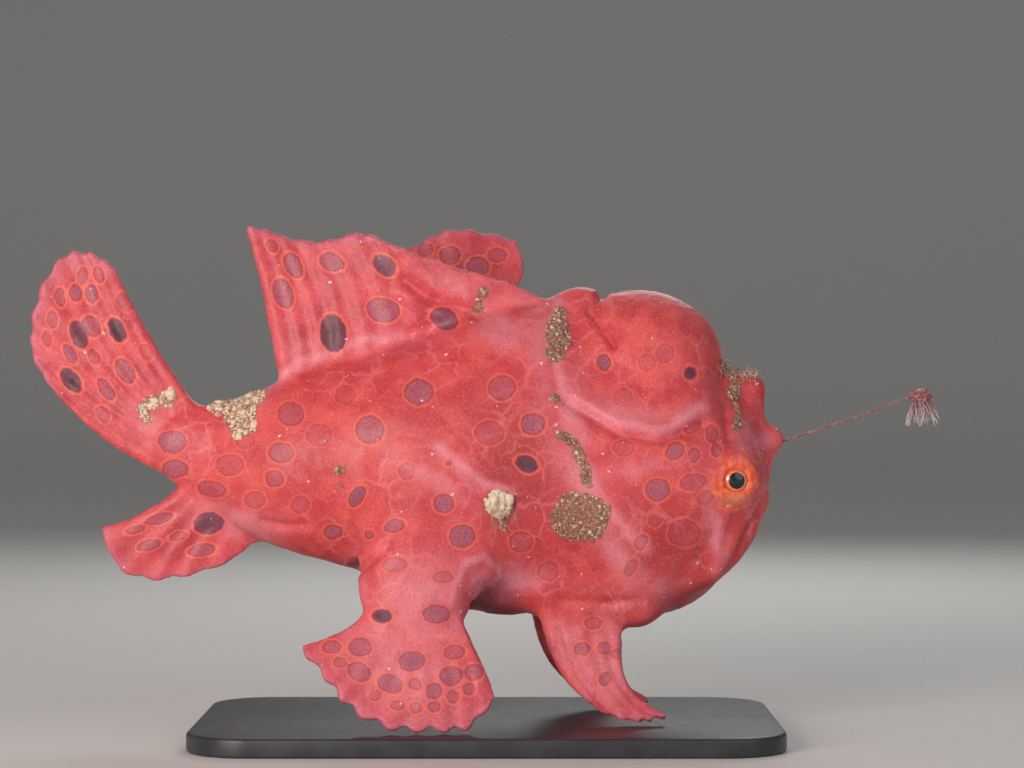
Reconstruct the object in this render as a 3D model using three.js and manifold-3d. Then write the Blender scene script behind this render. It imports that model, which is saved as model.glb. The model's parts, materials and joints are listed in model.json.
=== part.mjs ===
// A painted frogfish, life size, standing on one hand and two feet on a plain base.
// Millimetres, +Z up, snout towards +X, right side towards -Y.
// The origin is the middle of the base's underside.

import * as THREE from 'three';
import { mergeVertices } from 'three/addons/utils/BufferGeometryUtils.js';
import Module from 'manifold-3d';

const wasm = await Module();
wasm.setup();

// Driving dimensions

const base = { length: 92, width: 58, thickness: 3, corner: 10, bevel: 0.5 };
const fishOffset = { x: -6, z: base.thickness }; // from the fish's own frame to the part's
const gap = 0.3; // between pieces that touch
const fleshCell = { front: 3.2, trunk: 3.9, tail: 3.1 }; // mesh size of the flesh
const fleshRoom = { right: -28, left: 30, top: 76 }; // the flesh lies within these and above zero
const eye = { radius: 3.4, socket: 3.7, x: 44.2, y: 10.5, z: 38.3 };
const lure = { thickness: 0.7, sides: 6, steps: 8 };

// Flesh shapes. Each is a distance function of a point, negative inside.

// An ellipsoid, pitched about Y so that a positive pitch lifts its front
function egg(centre, radii, pitch = 0) {
  const c = Math.cos(pitch);
  const s = Math.sin(pitch);
  return (x, y, z) => {
    const dx = x - centre[0];
    const dz = z - centre[2];
    const u = (c * dx + s * dz) / radii[0];
    const v = (y - centre[1]) / radii[1];
    const w = (c * dz - s * dx) / radii[2];
    const near = Math.hypot(u, v, w);
    const slope = Math.hypot(u / radii[0], v / radii[1], w / radii[2]);
    return slope > 0 ? (near * (near - 1)) / slope : -Math.min(...radii);
  };
}

// A cone with round ends from one point to another, its width in Y scaled by flat
function limb(from, to, startRadius, endRadius, flat = 1) {
  const axis = [to[0] - from[0], (to[1] - from[1]) / flat, to[2] - from[2]];
  const lengthSquared = axis[0] ** 2 + axis[1] ** 2 + axis[2] ** 2;
  return (x, y, z) => {
    const p = [x - from[0], (y - from[1]) / flat, z - from[2]];
    const along = (p[0] * axis[0] + p[1] * axis[1] + p[2] * axis[2]) / lengthSquared;
    const t = Math.min(1, Math.max(0, along));
    const off = Math.hypot(p[0] - t * axis[0], p[1] - t * axis[1], p[2] - t * axis[2]);
    return (off - (startRadius + t * (endRadius - startRadius))) * Math.min(1, flat);
  };
}

// Joins two distances with a soft valley of the given width
function blend(a, b, width) {
  const h = Math.max(width - Math.abs(a - b), 0) / width;
  return Math.min(a, b) - (h * h * width) / 4;
}

// Each row is a shape and how softly it joins the rows above it
const bodyShapes = [
  [egg([8, 0, 40], [29, 16.5, 23.4], 0.1), 8], // belly and shoulders
  [egg([-14, 0, 41], [23, 11, 15], 0.22), 7], // rear trunk
  [limb([-22, 0, 42.5], [-41, 0, 43.2], 9.6, 6.4, 0.5), 6], // tail stalk
  [egg([30.7, 0, 38.5], [20.4, 16.8, 20]), 6], // head
  [egg([31, 0, 27], [12.2, 13, 10.2]), 4], // throat
  [egg([12, 0, 56], [13, 9.5, 9], 0.2), 6], // nape
  [egg([21, 0, 60.2], [7.4, 5.4, 8.4]), 3], // fold behind the hump
  [egg([30.2, 0, 55.8], [13.3, 11.7, 12.5]), 1.6], // hump of the third dorsal spine
  [limb([46.2, 0, 45.5], [47.6, 0, 52.2], 4.3, 2.8, 1.1), 2], // second dorsal spine
  [limb([43.8, 0, 46], [44.4, 0, 51.8], 3.2, 2.7, 1.2), 2], // the web behind it
  [limb([47, 0, 42], [51.2, 0, 44.5], 4.2, 2.4, 1.1), 2], // snout that carries the lure
];

// Shapes on each side: side is -1 on the right and 1 on the left
function sideShapes(side) {
  return [
    [egg([43.4, side * 8.6, 38.4], [6, 4.4, 5.8]), 3], // mound round the eye
    [limb([44.5, side * 6, 31], [40, side * 8.6, 24.2], 4, 3.2), 2.5], // cheek fold
    [limb([17, side * 6, 20], [29, side * 7.5, 19], 4.5, 4.5), 4], // hip of the pelvic fin
  ];
}

// The right arm props the body up from behind, and the left one reaches up behind the back.
const armShapes = {
  right: [
    [limb([-1, -10, 33], [-4.5, -14.2, 24], 9.5, 8, 0.62), 5],
    [limb([-4.5, -14.2, 24], [-6, -17.2, 16.5], 7.6, 6.6, 0.42), 4],
  ],
  left: [
    [limb([0, 10, 38], [1, 17.5, 50], 9, 7.4, 0.62), 5],
    [limb([1, 17.5, 50], [1.5, 20.5, 60], 7, 6.4, 0.42), 4],
  ],
};

const fleshShapes = [
  ...bodyShapes, ...sideShapes(-1), ...sideShapes(1), ...armShapes.right, ...armShapes.left,
];

function flesh(x, y, z) {
  let distance = Infinity;
  for (const [shape, softness] of fleshShapes) {
    const next = shape(x, y, z);
    distance = distance === Infinity ? next : blend(distance, next, softness);
  }
  return distance;
}

// Solids from distance functions

// Closed mesh of the surface where field is zero: one vertex in each cell that the
// surface crosses, and one quad across each grid edge that it crosses
function surfaceMesh(field, low, high, cell) {
  const count = low.map((v, i) => Math.ceil((high[i] - v) / cell) + 1);
  const index = (i, j, k) => (k * count[1] + j) * count[0] + i;
  const place = (i, axis) => low[axis] + i * cell;
  const value = new Float64Array(count[0] * count[1] * count[2]);
  for (let k = 0; k < count[2]; k++) {
    for (let j = 0; j < count[1]; j++) {
      for (let i = 0; i < count[0]; i++) {
        value[index(i, j, k)] = field(place(i, 0), place(j, 1), place(k, 2));
      }
    }
  }
  const positions = [];
  const vertexOf = new Map();
  const cornersOf = [0, 1, 2, 3, 4, 5, 6, 7].map((n) => [n & 1, (n >> 1) & 1, (n >> 2) & 1]);
  const edges = [];
  for (let a = 0; a < 8; a++) {
    for (const bit of [1, 2, 4]) {
      if (!(a & bit)) edges.push([a, a | bit]);
    }
  }

  // The mean of the crossings on the cell's edges, drawn onto the surface
  function addVertex(i, j, k) {
    const mean = [0, 0, 0];
    let crossings = 0;
    for (const [a, b] of edges) {
      const [ca, cb] = [cornersOf[a], cornersOf[b]];
      const va = value[index(i + ca[0], j + ca[1], k + ca[2])];
      const vb = value[index(i + cb[0], j + cb[1], k + cb[2])];
      if (va < 0 === vb < 0) continue;
      const t = va / (va - vb);
      crossings++;
      [i, j, k].forEach((at, axis) => {
        mean[axis] += place(at + ca[axis] + t * (cb[axis] - ca[axis]), axis);
      });
    }
    const p = mean.map((v) => v / crossings);
    const step = cell / 8;
    const here = field(...p);
    const slope = [0, 1, 2].map((axis) => {
      const q = [...p];
      q[axis] += step;
      return (field(...q) - here) / step;
    });
    const steepness = Math.max(slope[0] ** 2 + slope[1] ** 2 + slope[2] ** 2, 0.25);
    const reach = Math.max(-cell / 3, Math.min(cell / 3, here / steepness));
    positions.push(...p.map((v, axis) => v - reach * slope[axis]));
    vertexOf.set(index(i, j, k), positions.length / 3 - 1);
  }

  for (let k = 0; k < count[2] - 1; k++) {
    for (let j = 0; j < count[1] - 1; j++) {
      for (let i = 0; i < count[0] - 1; i++) {
        const inside = cornersOf.filter(
          (c) => value[index(i + c[0], j + c[1], k + c[2])] < 0,
        ).length;
        if (inside > 0 && inside < 8) addVertex(i, j, k);
      }
    }
  }

  const faces = [];
  const around = [[[0, 1, 0], [0, 0, 1]], [[0, 0, 1], [1, 0, 0]], [[1, 0, 0], [0, 1, 0]]];
  for (let k = 1; k < count[2] - 1; k++) {
    for (let j = 1; j < count[1] - 1; j++) {
      for (let i = 1; i < count[0] - 1; i++) {
        const inside = value[index(i, j, k)] < 0;
        around.forEach(([u, v], axis) => {
          const next = [i, j, k];
          next[axis]++;
          if (value[index(...next)] < 0 === inside) return;
          const cellAt = (a, b) => vertexOf.get(
            index(i - a * u[0] - b * v[0], j - a * u[1] - b * v[1], k - a * u[2] - b * v[2]),
          );
          const quad = [cellAt(0, 0), cellAt(1, 0), cellAt(1, 1), cellAt(0, 1)];
          if (!inside) quad.reverse();
          faces.push(quad[0], quad[1], quad[2], quad[0], quad[2], quad[3]);
        });
      }
    }
  }
  return new wasm.Manifold(new wasm.Mesh({
    numProp: 3,
    vertProperties: Float32Array.from(positions),
    triVerts: Uint32Array.from(faces),
  }));
}

// Solids from three.js geometry, and back

function solid(geometry) {
  const bare = geometry.index ? geometry.toNonIndexed() : geometry.clone();
  bare.deleteAttribute('normal');
  bare.deleteAttribute('uv');
  const merged = mergeVertices(bare, 1e-4);
  return new wasm.Manifold(new wasm.Mesh({
    numProp: 3,
    vertProperties: Float32Array.from(merged.attributes.position.array),
    triVerts: Uint32Array.from(merged.index.array),
  }));
}

function geometryOf(shape) {
  const mesh = shape.getMesh();
  const geometry = new THREE.BufferGeometry();
  geometry.setAttribute('position', new THREE.BufferAttribute(mesh.vertProperties, 3));
  geometry.setIndex(new THREE.BufferAttribute(mesh.triVerts, 1));
  geometry.computeVertexNormals();
  return geometry;
}

// A box between two corners, turned about Y round a point so that a positive turn
// tips its top towards +X
function slab(low, high, turn = 0, about = [0, 0, 0]) {
  const size = high.map((v, i) => v - low[i]);
  const middle = high.map((v, i) => (v + low[i]) / 2);
  const geometry = new THREE.BoxGeometry(...size);
  geometry.translate(...middle.map((v, i) => v - about[i]));
  geometry.rotateY(turn);
  geometry.translate(...about);
  return solid(geometry);
}

function ball(centre, radii, segments = 13) {
  const geometry = new THREE.SphereGeometry(1, segments, Math.round(segments * 0.6));
  geometry.scale(...radii);
  geometry.translate(...centre);
  return solid(geometry);
}

// Fins

// A fin's blade: rays run from the root curve through the middle curve to the margin.
// Each curve is a short list of [x, y, z] points. The rays stand out as ridges, and
// the margin is scalloped between them.
function finBlade({ root, middle, margin, rays, rows, rootThickness, tipThickness, scallop }) {
  const curves = [root, middle, margin].map(
    (points) => new THREE.CatmullRomCurve3(points.map((p) => new THREE.Vector3(...p))),
  );
  const columns = rays * 2;
  const point = (u, v) => {
    const [a, b, c] = curves.map((curve) => curve.getPoint(u));
    const onRay = Math.sin(Math.PI * rays * u) ** 2;
    const reach = v * (1 - (1 - onRay) * scallop * v * v);
    const p = a.multiplyScalar((1 - reach) * (1 - 2 * reach));
    return p.addScaledVector(b, 4 * reach * (1 - reach)).addScaledVector(c, reach * (2 * reach - 1));
  };
  const normal = (u, v) => {
    const d = 0.01;
    const along = point(Math.min(1, u + d), v).sub(point(Math.max(0, u - d), v));
    const out = point(u, Math.min(1, v + d)).sub(point(u, Math.max(0, v - d)));
    return along.cross(out).normalize();
  };
  const positions = [];
  for (const side of [1, -1]) {
    for (let row = 0; row <= rows; row++) {
      for (let column = 0; column <= columns; column++) {
        const u = column / columns;
        const v = row / rows;
        const ridge = column % 2 ? 1 : 0.72;
        const edge = column === 0 || column === columns ? 0.6 : 1;
        const thickness = (rootThickness + (tipThickness - rootThickness) * v) * ridge * edge;
        const half = Math.max(thickness, 0.6) / 2;
        const p = point(u, v).addScaledVector(normal(u, v), side * half);
        positions.push(p.x, p.y, p.z);
      }
    }
  }
  const layer = (rows + 1) * (columns + 1);
  const at = (side, row, column) => side * layer + row * (columns + 1) + column;
  const faces = [];
  const quad = (a, b, c, d) => faces.push(a, b, c, a, c, d);
  for (let row = 0; row < rows; row++) {
    for (let column = 0; column < columns; column++) {
      const ring = [[row, column], [row, column + 1], [row + 1, column + 1], [row + 1, column]];
      quad(...ring.map(([r, c]) => at(0, r, c)));
      quad(...ring.reverse().map(([r, c]) => at(1, r, c)));
    }
    quad(at(0, row + 1, 0), at(1, row + 1, 0), at(1, row, 0), at(0, row, 0));
    const end = columns;
    quad(at(0, row, end), at(1, row, end), at(1, row + 1, end), at(0, row + 1, end));
  }
  for (let column = 0; column < columns; column++) {
    const next = column + 1;
    quad(at(0, 0, column), at(1, 0, column), at(1, 0, next), at(0, 0, next));
    quad(at(0, rows, next), at(1, rows, next), at(1, rows, column), at(0, rows, column));
  }
  const geometry = new THREE.BufferGeometry();
  geometry.setAttribute('position', new THREE.Float32BufferAttribute(positions, 3));
  geometry.setIndex(faces);
  return solid(geometry);
}

const onMidline = (points) => points.map(([x, z]) => [x, 0, z]);

const caudalFin = {
  root: onMidline([[-38.5, 48.5], [-39.5, 43], [-40.5, 38.5]]),
  middle: onMidline([[-45.4, 56.8], [-53, 53], [-51.5, 41.6]]),
  margin: onMidline([
    [-53.5, 71.8], [-57.5, 74.4], [-61.5, 74.2], [-65.4, 69], [-67.2, 62], [-66.6, 57], [-63.4, 52],
  ]),
  rays: 9, rows: 4, rootThickness: 3, tipThickness: 0.9, scallop: 0.02,
};

const dorsalFin = {
  root: onMidline([[15.5, 63], [4, 60.5], [-8, 56.5], [-19, 52.5], [-27, 50]]),
  middle: [
    [15.6, -0.8, 65.5], [5, -2.6, 67], [-8, -2, 66], [-20, -0.6, 64.5], [-29.2, 0, 63.6],
  ],
  margin: [
    [15.8, -1, 66.6], [9, -3.4, 69.4], [1.6, -3.8, 71.6], [-8, -2.6, 75], [-14.2, -1, 77.4],
    [-19.6, 0, 76.2], [-25.4, 0.6, 76.6], [-29.8, 0.6, 78], [-32.9, 0.6, 78.6],
  ],
  rays: 12, rows: 3, rootThickness: 3.4, tipThickness: 0.9, scallop: 0.02,
};

const analFin = {
  root: onMidline([[-40, 39.2], [-34, 37], [-28, 35], [-22, 34]]),
  middle: onMidline([[-48.6, 33.2], [-42, 29.5], [-34, 29.5], [-24.5, 30.5]]),
  margin: onMidline([
    [-56.2, 30.3], [-53, 23.6], [-48, 21.8], [-42, 22.4], [-36, 24.4], [-30.5, 27.4], [-25.5, 28],
  ]),
  rays: 7, rows: 3, rootThickness: 2.6, tipThickness: 0.9, scallop: 0.04,
};

// The right hand stands on its tips, spread like a foot.
const rightPectoralFin = {
  root: [[-11, -15.4, 20], [-6, -16.2, 19.5], [1, -15.8, 19]],
  middle: [[-17.2, -18.5, 15], [-6, -20, 10.5], [5.2, -18.8, 10.8]],
  margin: [
    [-23, -20, 13.4], [-18.6, -21.5, 8], [-15, -22.5, 3.6], [-8.6, -23.5, 0.6],
    [-2.4, -24, 0.3], [3, -23.4, 0.5], [7.6, -21.6, 5.2],
  ],
  rays: 9, rows: 3, rootThickness: 3.2, tipThickness: 1, scallop: 0.08,
};

// The left hand is lifted above the back.
const leftPectoralFin = {
  root: [[-3, 19, 56], [1.5, 19.4, 57], [6, 19, 56]],
  middle: [[-9, 21.2, 63.5], [1, 22.4, 69], [9.6, 21.2, 65.5]],
  margin: [
    [-16.5, 22, 67], [-12.5, 23.4, 73], [-6, 24.6, 76.8], [-1, 25, 79.2],
    [5, 25, 78.8], [10.6, 24, 77.2], [12, 22.6, 72],
  ],
  rays: 9, rows: 3, rootThickness: 3.2, tipThickness: 1, scallop: 0.04,
};

// Pelvic fins are the front feet: a broad web that narrows to a sole with a long toe.
// The left one, hidden in the view, stands a little further back.
function pelvicFin(side, back) {
  const place = ([x, y, z]) => [x - back, side * y, z];
  const points = {
    root: [[14, 6.5, 21], [21, 8, 21], [30, 7.5, 20.5]].map(place),
    middle: [[17, 8.6, 8.7], [22.5, 10, 8.6], [27.4, 9.4, 8.3]].map(place),
    margin: [[24, 10.6, 2.6], [28, 12, 0.6], [31.5, 12.4, 0.5], [34.8, 11.6, 1.4]].map(place),
  };
  return { ...points, rays: 5, rows: 5, rootThickness: 4.6, tipThickness: 1.5, scallop: 0.1 };
}

// Pieces

// The flesh between two planes across the body, grown outwards by a margin
function fleshSolid(rear, front, cell, margin = 0) {
  const field = (x, y, z) => Math.max(flesh(x, y, z) - margin, rear - x, x - front);
  const low = [rear - 2 * cell, fleshRoom.right, 0];
  const high = [front + 2 * cell, fleshRoom.left, fleshRoom.top];
  return surfaceMesh(field, low, high, cell);
}

// The planes overlap, and the cuts below part them.
const fleshLengths = [[8, 56, fleshCell.front], [-36, 26, fleshCell.trunk], [-54, -18, fleshCell.tail]];
const [front, middle, rear] = fleshLengths.map((length) => fleshSolid(...length));
const grown = fleshLengths
  .map((length) => fleshSolid(...length, gap))
  .reduce((joined, next) => joined.add(next));
const far = 90;
const floorSlab = slab([-far, -far, -far], [far, far, gap]);

function fin(shape) {
  return finBlade(shape).subtract(grown).subtract(floorSlab);
}

// Cuts between the parts of the flesh: planes that lean in the side view
const headCut = { x: 16.5, z: 42, lean: 0.12 };
const tailCut = { x: -27.5, z: 43, lean: 0.1 };
const mouthCut = { x: 51.2, z: 37.6, lean: 0.53 };
const spineCut = { x: 43.4, z: 46.8, lean: 0.35, halfWidth: 5.6 };
const hump = { centre: [30.4, 0, 56.8], radii: [14.6, 13.3, 13.2], floor: 49.5 };
const rightArmCut = { y: -10.4, top: 27.5 };
const leftArmCut = { y: 15.2, bottom: 46, rear: -12, front: 14 };

const grow = (radii) => radii.map((r) => r + gap);

function behind(cut, shift = 0) {
  const about = [cut.x, 0, cut.z];
  return slab([cut.x - far, -far, cut.z - far], [cut.x + shift, far, cut.z + far], cut.lean, about);
}

const eyeBall = (side, radius) => ball([eye.x, side * eye.y, eye.z], [radius, radius, radius]);
const humpBall = (radii) => ball(hump.centre, radii, 20);

const frontHalf = front.subtract(behind(headCut, gap));
const spineBlock = (shift) => slab(
  [spineCut.x - shift, -spineCut.halfWidth - shift, spineCut.z - shift],
  [spineCut.x + far, spineCut.halfWidth + shift, spineCut.z + far],
  spineCut.lean, [spineCut.x, 0, spineCut.z],
);
const rightArmBlock = (shift) => slab(
  [-far, -far, -far], [far, rightArmCut.y + shift, rightArmCut.top + shift],
);
const leftArmBlock = (shift) => slab(
  [leftArmCut.rear, leftArmCut.y - shift, leftArmCut.bottom - shift], [leftArmCut.front, far, far],
);
const humpBlock = (shift) => slab([-far, -far, hump.floor - shift], [far, far, far]);

const thirdSpine = frontHalf.intersect(humpBall(hump.radii)).intersect(humpBlock(0));
const thirdSpineRoom = humpBall(grow(hump.radii)).intersect(humpBlock(gap));
const headAndJaw = frontHalf
  .subtract(thirdSpineRoom)
  .subtract(spineBlock(gap))
  .subtract(eyeBall(-1, eye.socket))
  .subtract(eyeBall(1, eye.socket));
const trunkAndArms = middle.intersect(behind(headCut)).subtract(behind(tailCut, gap));

const pieces = {
  head: headAndJaw.intersect(behind(mouthCut)),
  lower_jaw: headAndJaw.subtract(behind(mouthCut, gap)),
  third_spine: thirdSpine,
  second_spine: frontHalf.intersect(spineBlock(0)).subtract(thirdSpineRoom),
  trunk: trunkAndArms.subtract(rightArmBlock(gap)).subtract(leftArmBlock(gap)),
  pectoral_arm_right: trunkAndArms.intersect(rightArmBlock(0)),
  pectoral_arm_left: trunkAndArms.intersect(leftArmBlock(0)),
  tail_stalk: rear.intersect(behind(tailCut)),
  caudal_fin: fin(caudalFin),
  dorsal_fin: fin(dorsalFin),
  anal_fin: fin(analFin),
  pectoral_fin_right: fin(rightPectoralFin),
  pectoral_fin_left: fin(leftPectoralFin),
  pelvic_fin_right: fin(pelvicFin(-1, 0)),
  pelvic_fin_left: fin(pelvicFin(1, 1.5)),
  eye_right: eyeBall(-1, eye.radius),
  eye_left: eyeBall(1, eye.radius),
};

// The lure's rod: thin and bent, from the snout to the bait

function lureRod() {
  const curve = new THREE.CatmullRomCurve3([
    new THREE.Vector3(51, 0, 43.4),
    new THREE.Vector3(58, 0, 45.6),
    new THREE.Vector3(66, 0, 48.3),
    new THREE.Vector3(73.4, 0, 51),
  ]);
  const outline = new THREE.Shape();
  for (let i = 0; i < lure.sides; i++) {
    const angle = (i / lure.sides) * 2 * Math.PI;
    const [x, y] = [Math.cos(angle), Math.sin(angle)].map((v) => (v * lure.thickness) / 2);
    if (i === 0) outline.moveTo(x, y);
    else outline.lineTo(x, y);
  }
  const rod = new THREE.ExtrudeGeometry(outline, {
    steps: lure.steps, extrudePath: curve, bevelEnabled: false,
  });
  return solid(rod);
}

// The bait: a round heart with a fan of threads that hang from it
const bait = { heart: [75.2, 0, 51.2], radii: [2.1, 1.6, 1.5], threads: 5, drop: 4.8 };

function lureBait(margin = 0) {
  let joined = ball(bait.heart, bait.radii.map((r) => r + margin), 8);
  for (let i = 0; i < bait.threads; i++) {
    const spread = i / (bait.threads - 1) - 0.5;
    const thread = new THREE.CylinderGeometry(0.8, 0.4, bait.drop, 6);
    thread.translate(0, -bait.drop / 2, 0);
    thread.rotateZ(0.16 + 0.75 * spread);
    thread.rotateX(0.3 * Math.cos(i * 2.4));
    thread.rotateX(Math.PI / 2);
    thread.translate(...bait.heart);
    joined = joined.add(solid(thread));
  }
  return joined;
}

pieces.lure_bait = lureBait();
pieces.lure_rod = lureRod().subtract(grown).subtract(lureBait(gap));

// Materials

const looks = {
  skin: { color: '#d8505c', roughness: 0.5, metalness: 0 },
  fin: { color: '#c9566a', roughness: 0.5, metalness: 0 },
  eye: { color: '#15100f', roughness: 0.12, metalness: 0 },
  lure: { color: '#c9a49c', roughness: 0.5, metalness: 0 },
  base: { color: '#3a3b3e', roughness: 0.55, metalness: 0 },
};

function lookOf(name) {
  if (name.startsWith('eye')) return looks.eye;
  if (name.startsWith('lure')) return looks.lure;
  if (name.includes('fin')) return looks.fin;
  return looks.skin;
}

function namedMesh(name, geometry, look) {
  const mesh = new THREE.Mesh(geometry, new THREE.MeshStandardMaterial(look));
  mesh.name = name;
  return mesh;
}

// The base: a plate with round corners and a small bevel along its edges
function basePlate() {
  const { length, width, thickness, corner, bevel } = base;
  const [x, y] = [length / 2 - bevel, width / 2 - bevel];
  const outline = new THREE.Shape();
  outline.moveTo(-x + corner, -y);
  outline.absarc(x - corner, -y + corner, corner, -Math.PI / 2, 0);
  outline.absarc(x - corner, y - corner, corner, 0, Math.PI / 2);
  outline.absarc(-x + corner, y - corner, corner, Math.PI / 2, Math.PI);
  outline.absarc(-x + corner, -y + corner, corner, Math.PI, 1.5 * Math.PI);
  const geometry = new THREE.ExtrudeGeometry(outline, {
    depth: thickness - 2 * bevel,
    bevelSize: bevel,
    bevelThickness: bevel,
    bevelSegments: 1,
    curveSegments: 4,
  });
  geometry.translate(0, 0, bevel);
  return geometry;
}

// The whole part

const part = new THREE.Group();
part.add(namedMesh('stand_base', basePlate(), looks.base));
const fish = new THREE.Group();
fish.position.set(fishOffset.x, 0, fishOffset.z);
for (const [name, piece] of Object.entries(pieces)) {
  fish.add(namedMesh(name, geometryOf(piece), lookOf(name)));
}
part.add(fish);

export default part;
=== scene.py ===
# %% [markdown]
# # A painted frogfish, life size
#
# A frogfish is a soft, scaleless fish that walks on fins shaped like hands and feet. This lesson builds
# one as a museum would show it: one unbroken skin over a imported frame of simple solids, glossy eyes, a
# lure held out on a thin rod, and the crusts and threads that grow on the skin of a fish that hardly ever
# moves.
#
# The frame is loaded first, because every piece below has to sit where the frame says.

# %% Load the frame
import json
import math

import bmesh
import bpy
import numpy as np
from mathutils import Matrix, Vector, kdtree

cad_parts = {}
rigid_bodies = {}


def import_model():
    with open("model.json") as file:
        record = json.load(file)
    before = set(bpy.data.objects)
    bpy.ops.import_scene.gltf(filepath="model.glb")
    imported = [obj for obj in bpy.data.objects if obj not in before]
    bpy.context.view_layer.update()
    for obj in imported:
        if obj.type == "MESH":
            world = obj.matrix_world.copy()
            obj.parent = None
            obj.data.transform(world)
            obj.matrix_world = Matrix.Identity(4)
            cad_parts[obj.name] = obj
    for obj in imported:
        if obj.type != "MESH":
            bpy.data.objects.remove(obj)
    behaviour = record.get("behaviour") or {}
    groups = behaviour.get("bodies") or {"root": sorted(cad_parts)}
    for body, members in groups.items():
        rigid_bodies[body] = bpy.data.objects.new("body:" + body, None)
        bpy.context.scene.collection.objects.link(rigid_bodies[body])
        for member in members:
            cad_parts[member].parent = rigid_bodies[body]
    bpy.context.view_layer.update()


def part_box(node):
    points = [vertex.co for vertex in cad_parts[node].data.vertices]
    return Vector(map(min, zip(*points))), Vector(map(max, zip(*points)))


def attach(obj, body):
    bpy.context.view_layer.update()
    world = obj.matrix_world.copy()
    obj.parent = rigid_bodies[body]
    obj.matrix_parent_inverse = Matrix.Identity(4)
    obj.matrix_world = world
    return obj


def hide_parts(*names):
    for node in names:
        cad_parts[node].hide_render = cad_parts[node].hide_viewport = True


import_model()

# %% [markdown]
# ## Units and places
#
# Shapes are easier to think about in millimetres in the fish's own frame, whose floor is the top of the
# display base. One function turns such points into Blender's metres. The base's top comes from the frame,
# so the fish always stands on it.

# %% From the fish's millimetres to the scene's metres
MM = 0.001
BASE_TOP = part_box("stand_base")[1][2]
FISH_FORWARD_MM = -6.0


def to_scene(points):
    points = np.asarray(points, dtype=float)
    return points * MM + np.array([FISH_FORWARD_MM * MM, 0.0, BASE_TOP])


def to_fish(points):
    return (np.asarray(points, dtype=float) - np.array([FISH_FORWARD_MM * MM, 0.0, BASE_TOP])) / MM


print("base top at", round(BASE_TOP / MM, 2), "mm")

# %% [markdown]
# ## The camera's place
#
# The fish was seen square from its right side through a long lens. At 455 mm away, a 100 mm lens on a 36
# mm sensor takes in 164 mm, so that one pixel of a picture 1024 wide is 0.16 mm on the fish's middle
# plane. The marks on the skin are placed with the same numbers, so the camera comes before them.

# %% Camera numbers
PICTURE_WIDTH, PICTURE_HEIGHT = 1024, 768
PIXEL_MM = 0.16
LENS_MM, SENSOR_MM = 100.0, 36.0
CAMERA_AWAY_MM = PIXEL_MM * PICTURE_WIDTH * LENS_MM / SENSOR_MM
VIEW_CENTRE_MM = np.array([9.92, 53.2])  # x and z of the picture's middle in the fish's frame


def photo_place(px, py):
    """The place on the fish's middle plane, x and z in mm, of a pixel in the photograph."""
    across = (px - PICTURE_WIDTH / 2) * PIXEL_MM
    up = (PICTURE_HEIGHT / 2 - py) * PIXEL_MM
    return VIEW_CENTRE_MM + np.array([across, up])


def side_view(points):
    """Where the camera sees each point, as x and z in mm on the middle plane."""
    nearness = CAMERA_AWAY_MM / (CAMERA_AWAY_MM + points[:, 1])
    return VIEW_CENTRE_MM + (points[:, [0, 2]] - VIEW_CENTRE_MM) * nearness[:, None]


print("camera", round(CAMERA_AWAY_MM, 1), "mm away")

# %% [markdown]
# ## The flesh as a distance field
#
# A soft body is hard to draw with flat faces, but easy to describe as a few eggs and limbs that melt into
# each other. Each shape is a function that says how far a point is from its surface, negative inside.
# Blending the numbers with a soft minimum blends the shapes, and the width of the blend says how deep the
# crease between them is: a wide blend for the belly, a narrow one for the hump on the head, whose rim is
# a sharp fold.

# %% Shapes that make flesh


def egg(centre, radii, pitch=0.0):
    """An ellipsoid; a positive pitch lifts its front."""
    c, s = math.cos(pitch), math.sin(pitch)

    def distance(p):
        dx, dy, dz = (p[:, axis] - centre[axis] for axis in range(3))
        u, v, w = (c * dx + s * dz) / radii[0], dy / radii[1], (c * dz - s * dx) / radii[2]
        near = np.sqrt(u * u + v * v + w * w)
        slope = np.sqrt((u / radii[0]) ** 2 + (v / radii[1]) ** 2 + (w / radii[2]) ** 2)
        return near * (near - 1) / np.maximum(slope, 1e-6)

    return distance


def limb(start, end, start_radius, end_radius, flat=1.0):
    """A cone with round ends, its width in Y scaled by flat."""
    start, end = np.array(start, float), np.array(end, float)
    squeeze = np.array([1.0, 1.0 / flat, 1.0])
    axis = (end - start) * squeeze

    def distance(p):
        q = (p - start) * squeeze
        t = np.clip(q @ axis / (axis @ axis), 0, 1)
        off = np.linalg.norm(q - t[:, None] * axis, axis=1)
        return (off - (start_radius + t * (end_radius - start_radius))) * min(1.0, flat)

    return distance


def smoothstep(low, high, x):
    t = np.clip((x - low) / (high - low), 0, 1)
    return t * t * (3 - 2 * t)


def soft_minimum(a, b, width):
    h = np.maximum(width - np.abs(a - b), 0) / width
    return np.minimum(a, b) - h * h * width / 4


above_ball = np.array([[0.0, 0.0, 12.0]])
print("2 mm above a ball of 10 mm the field says", egg([0, 0, 0], [10, 10, 10])(above_ball).round(2))

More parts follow.
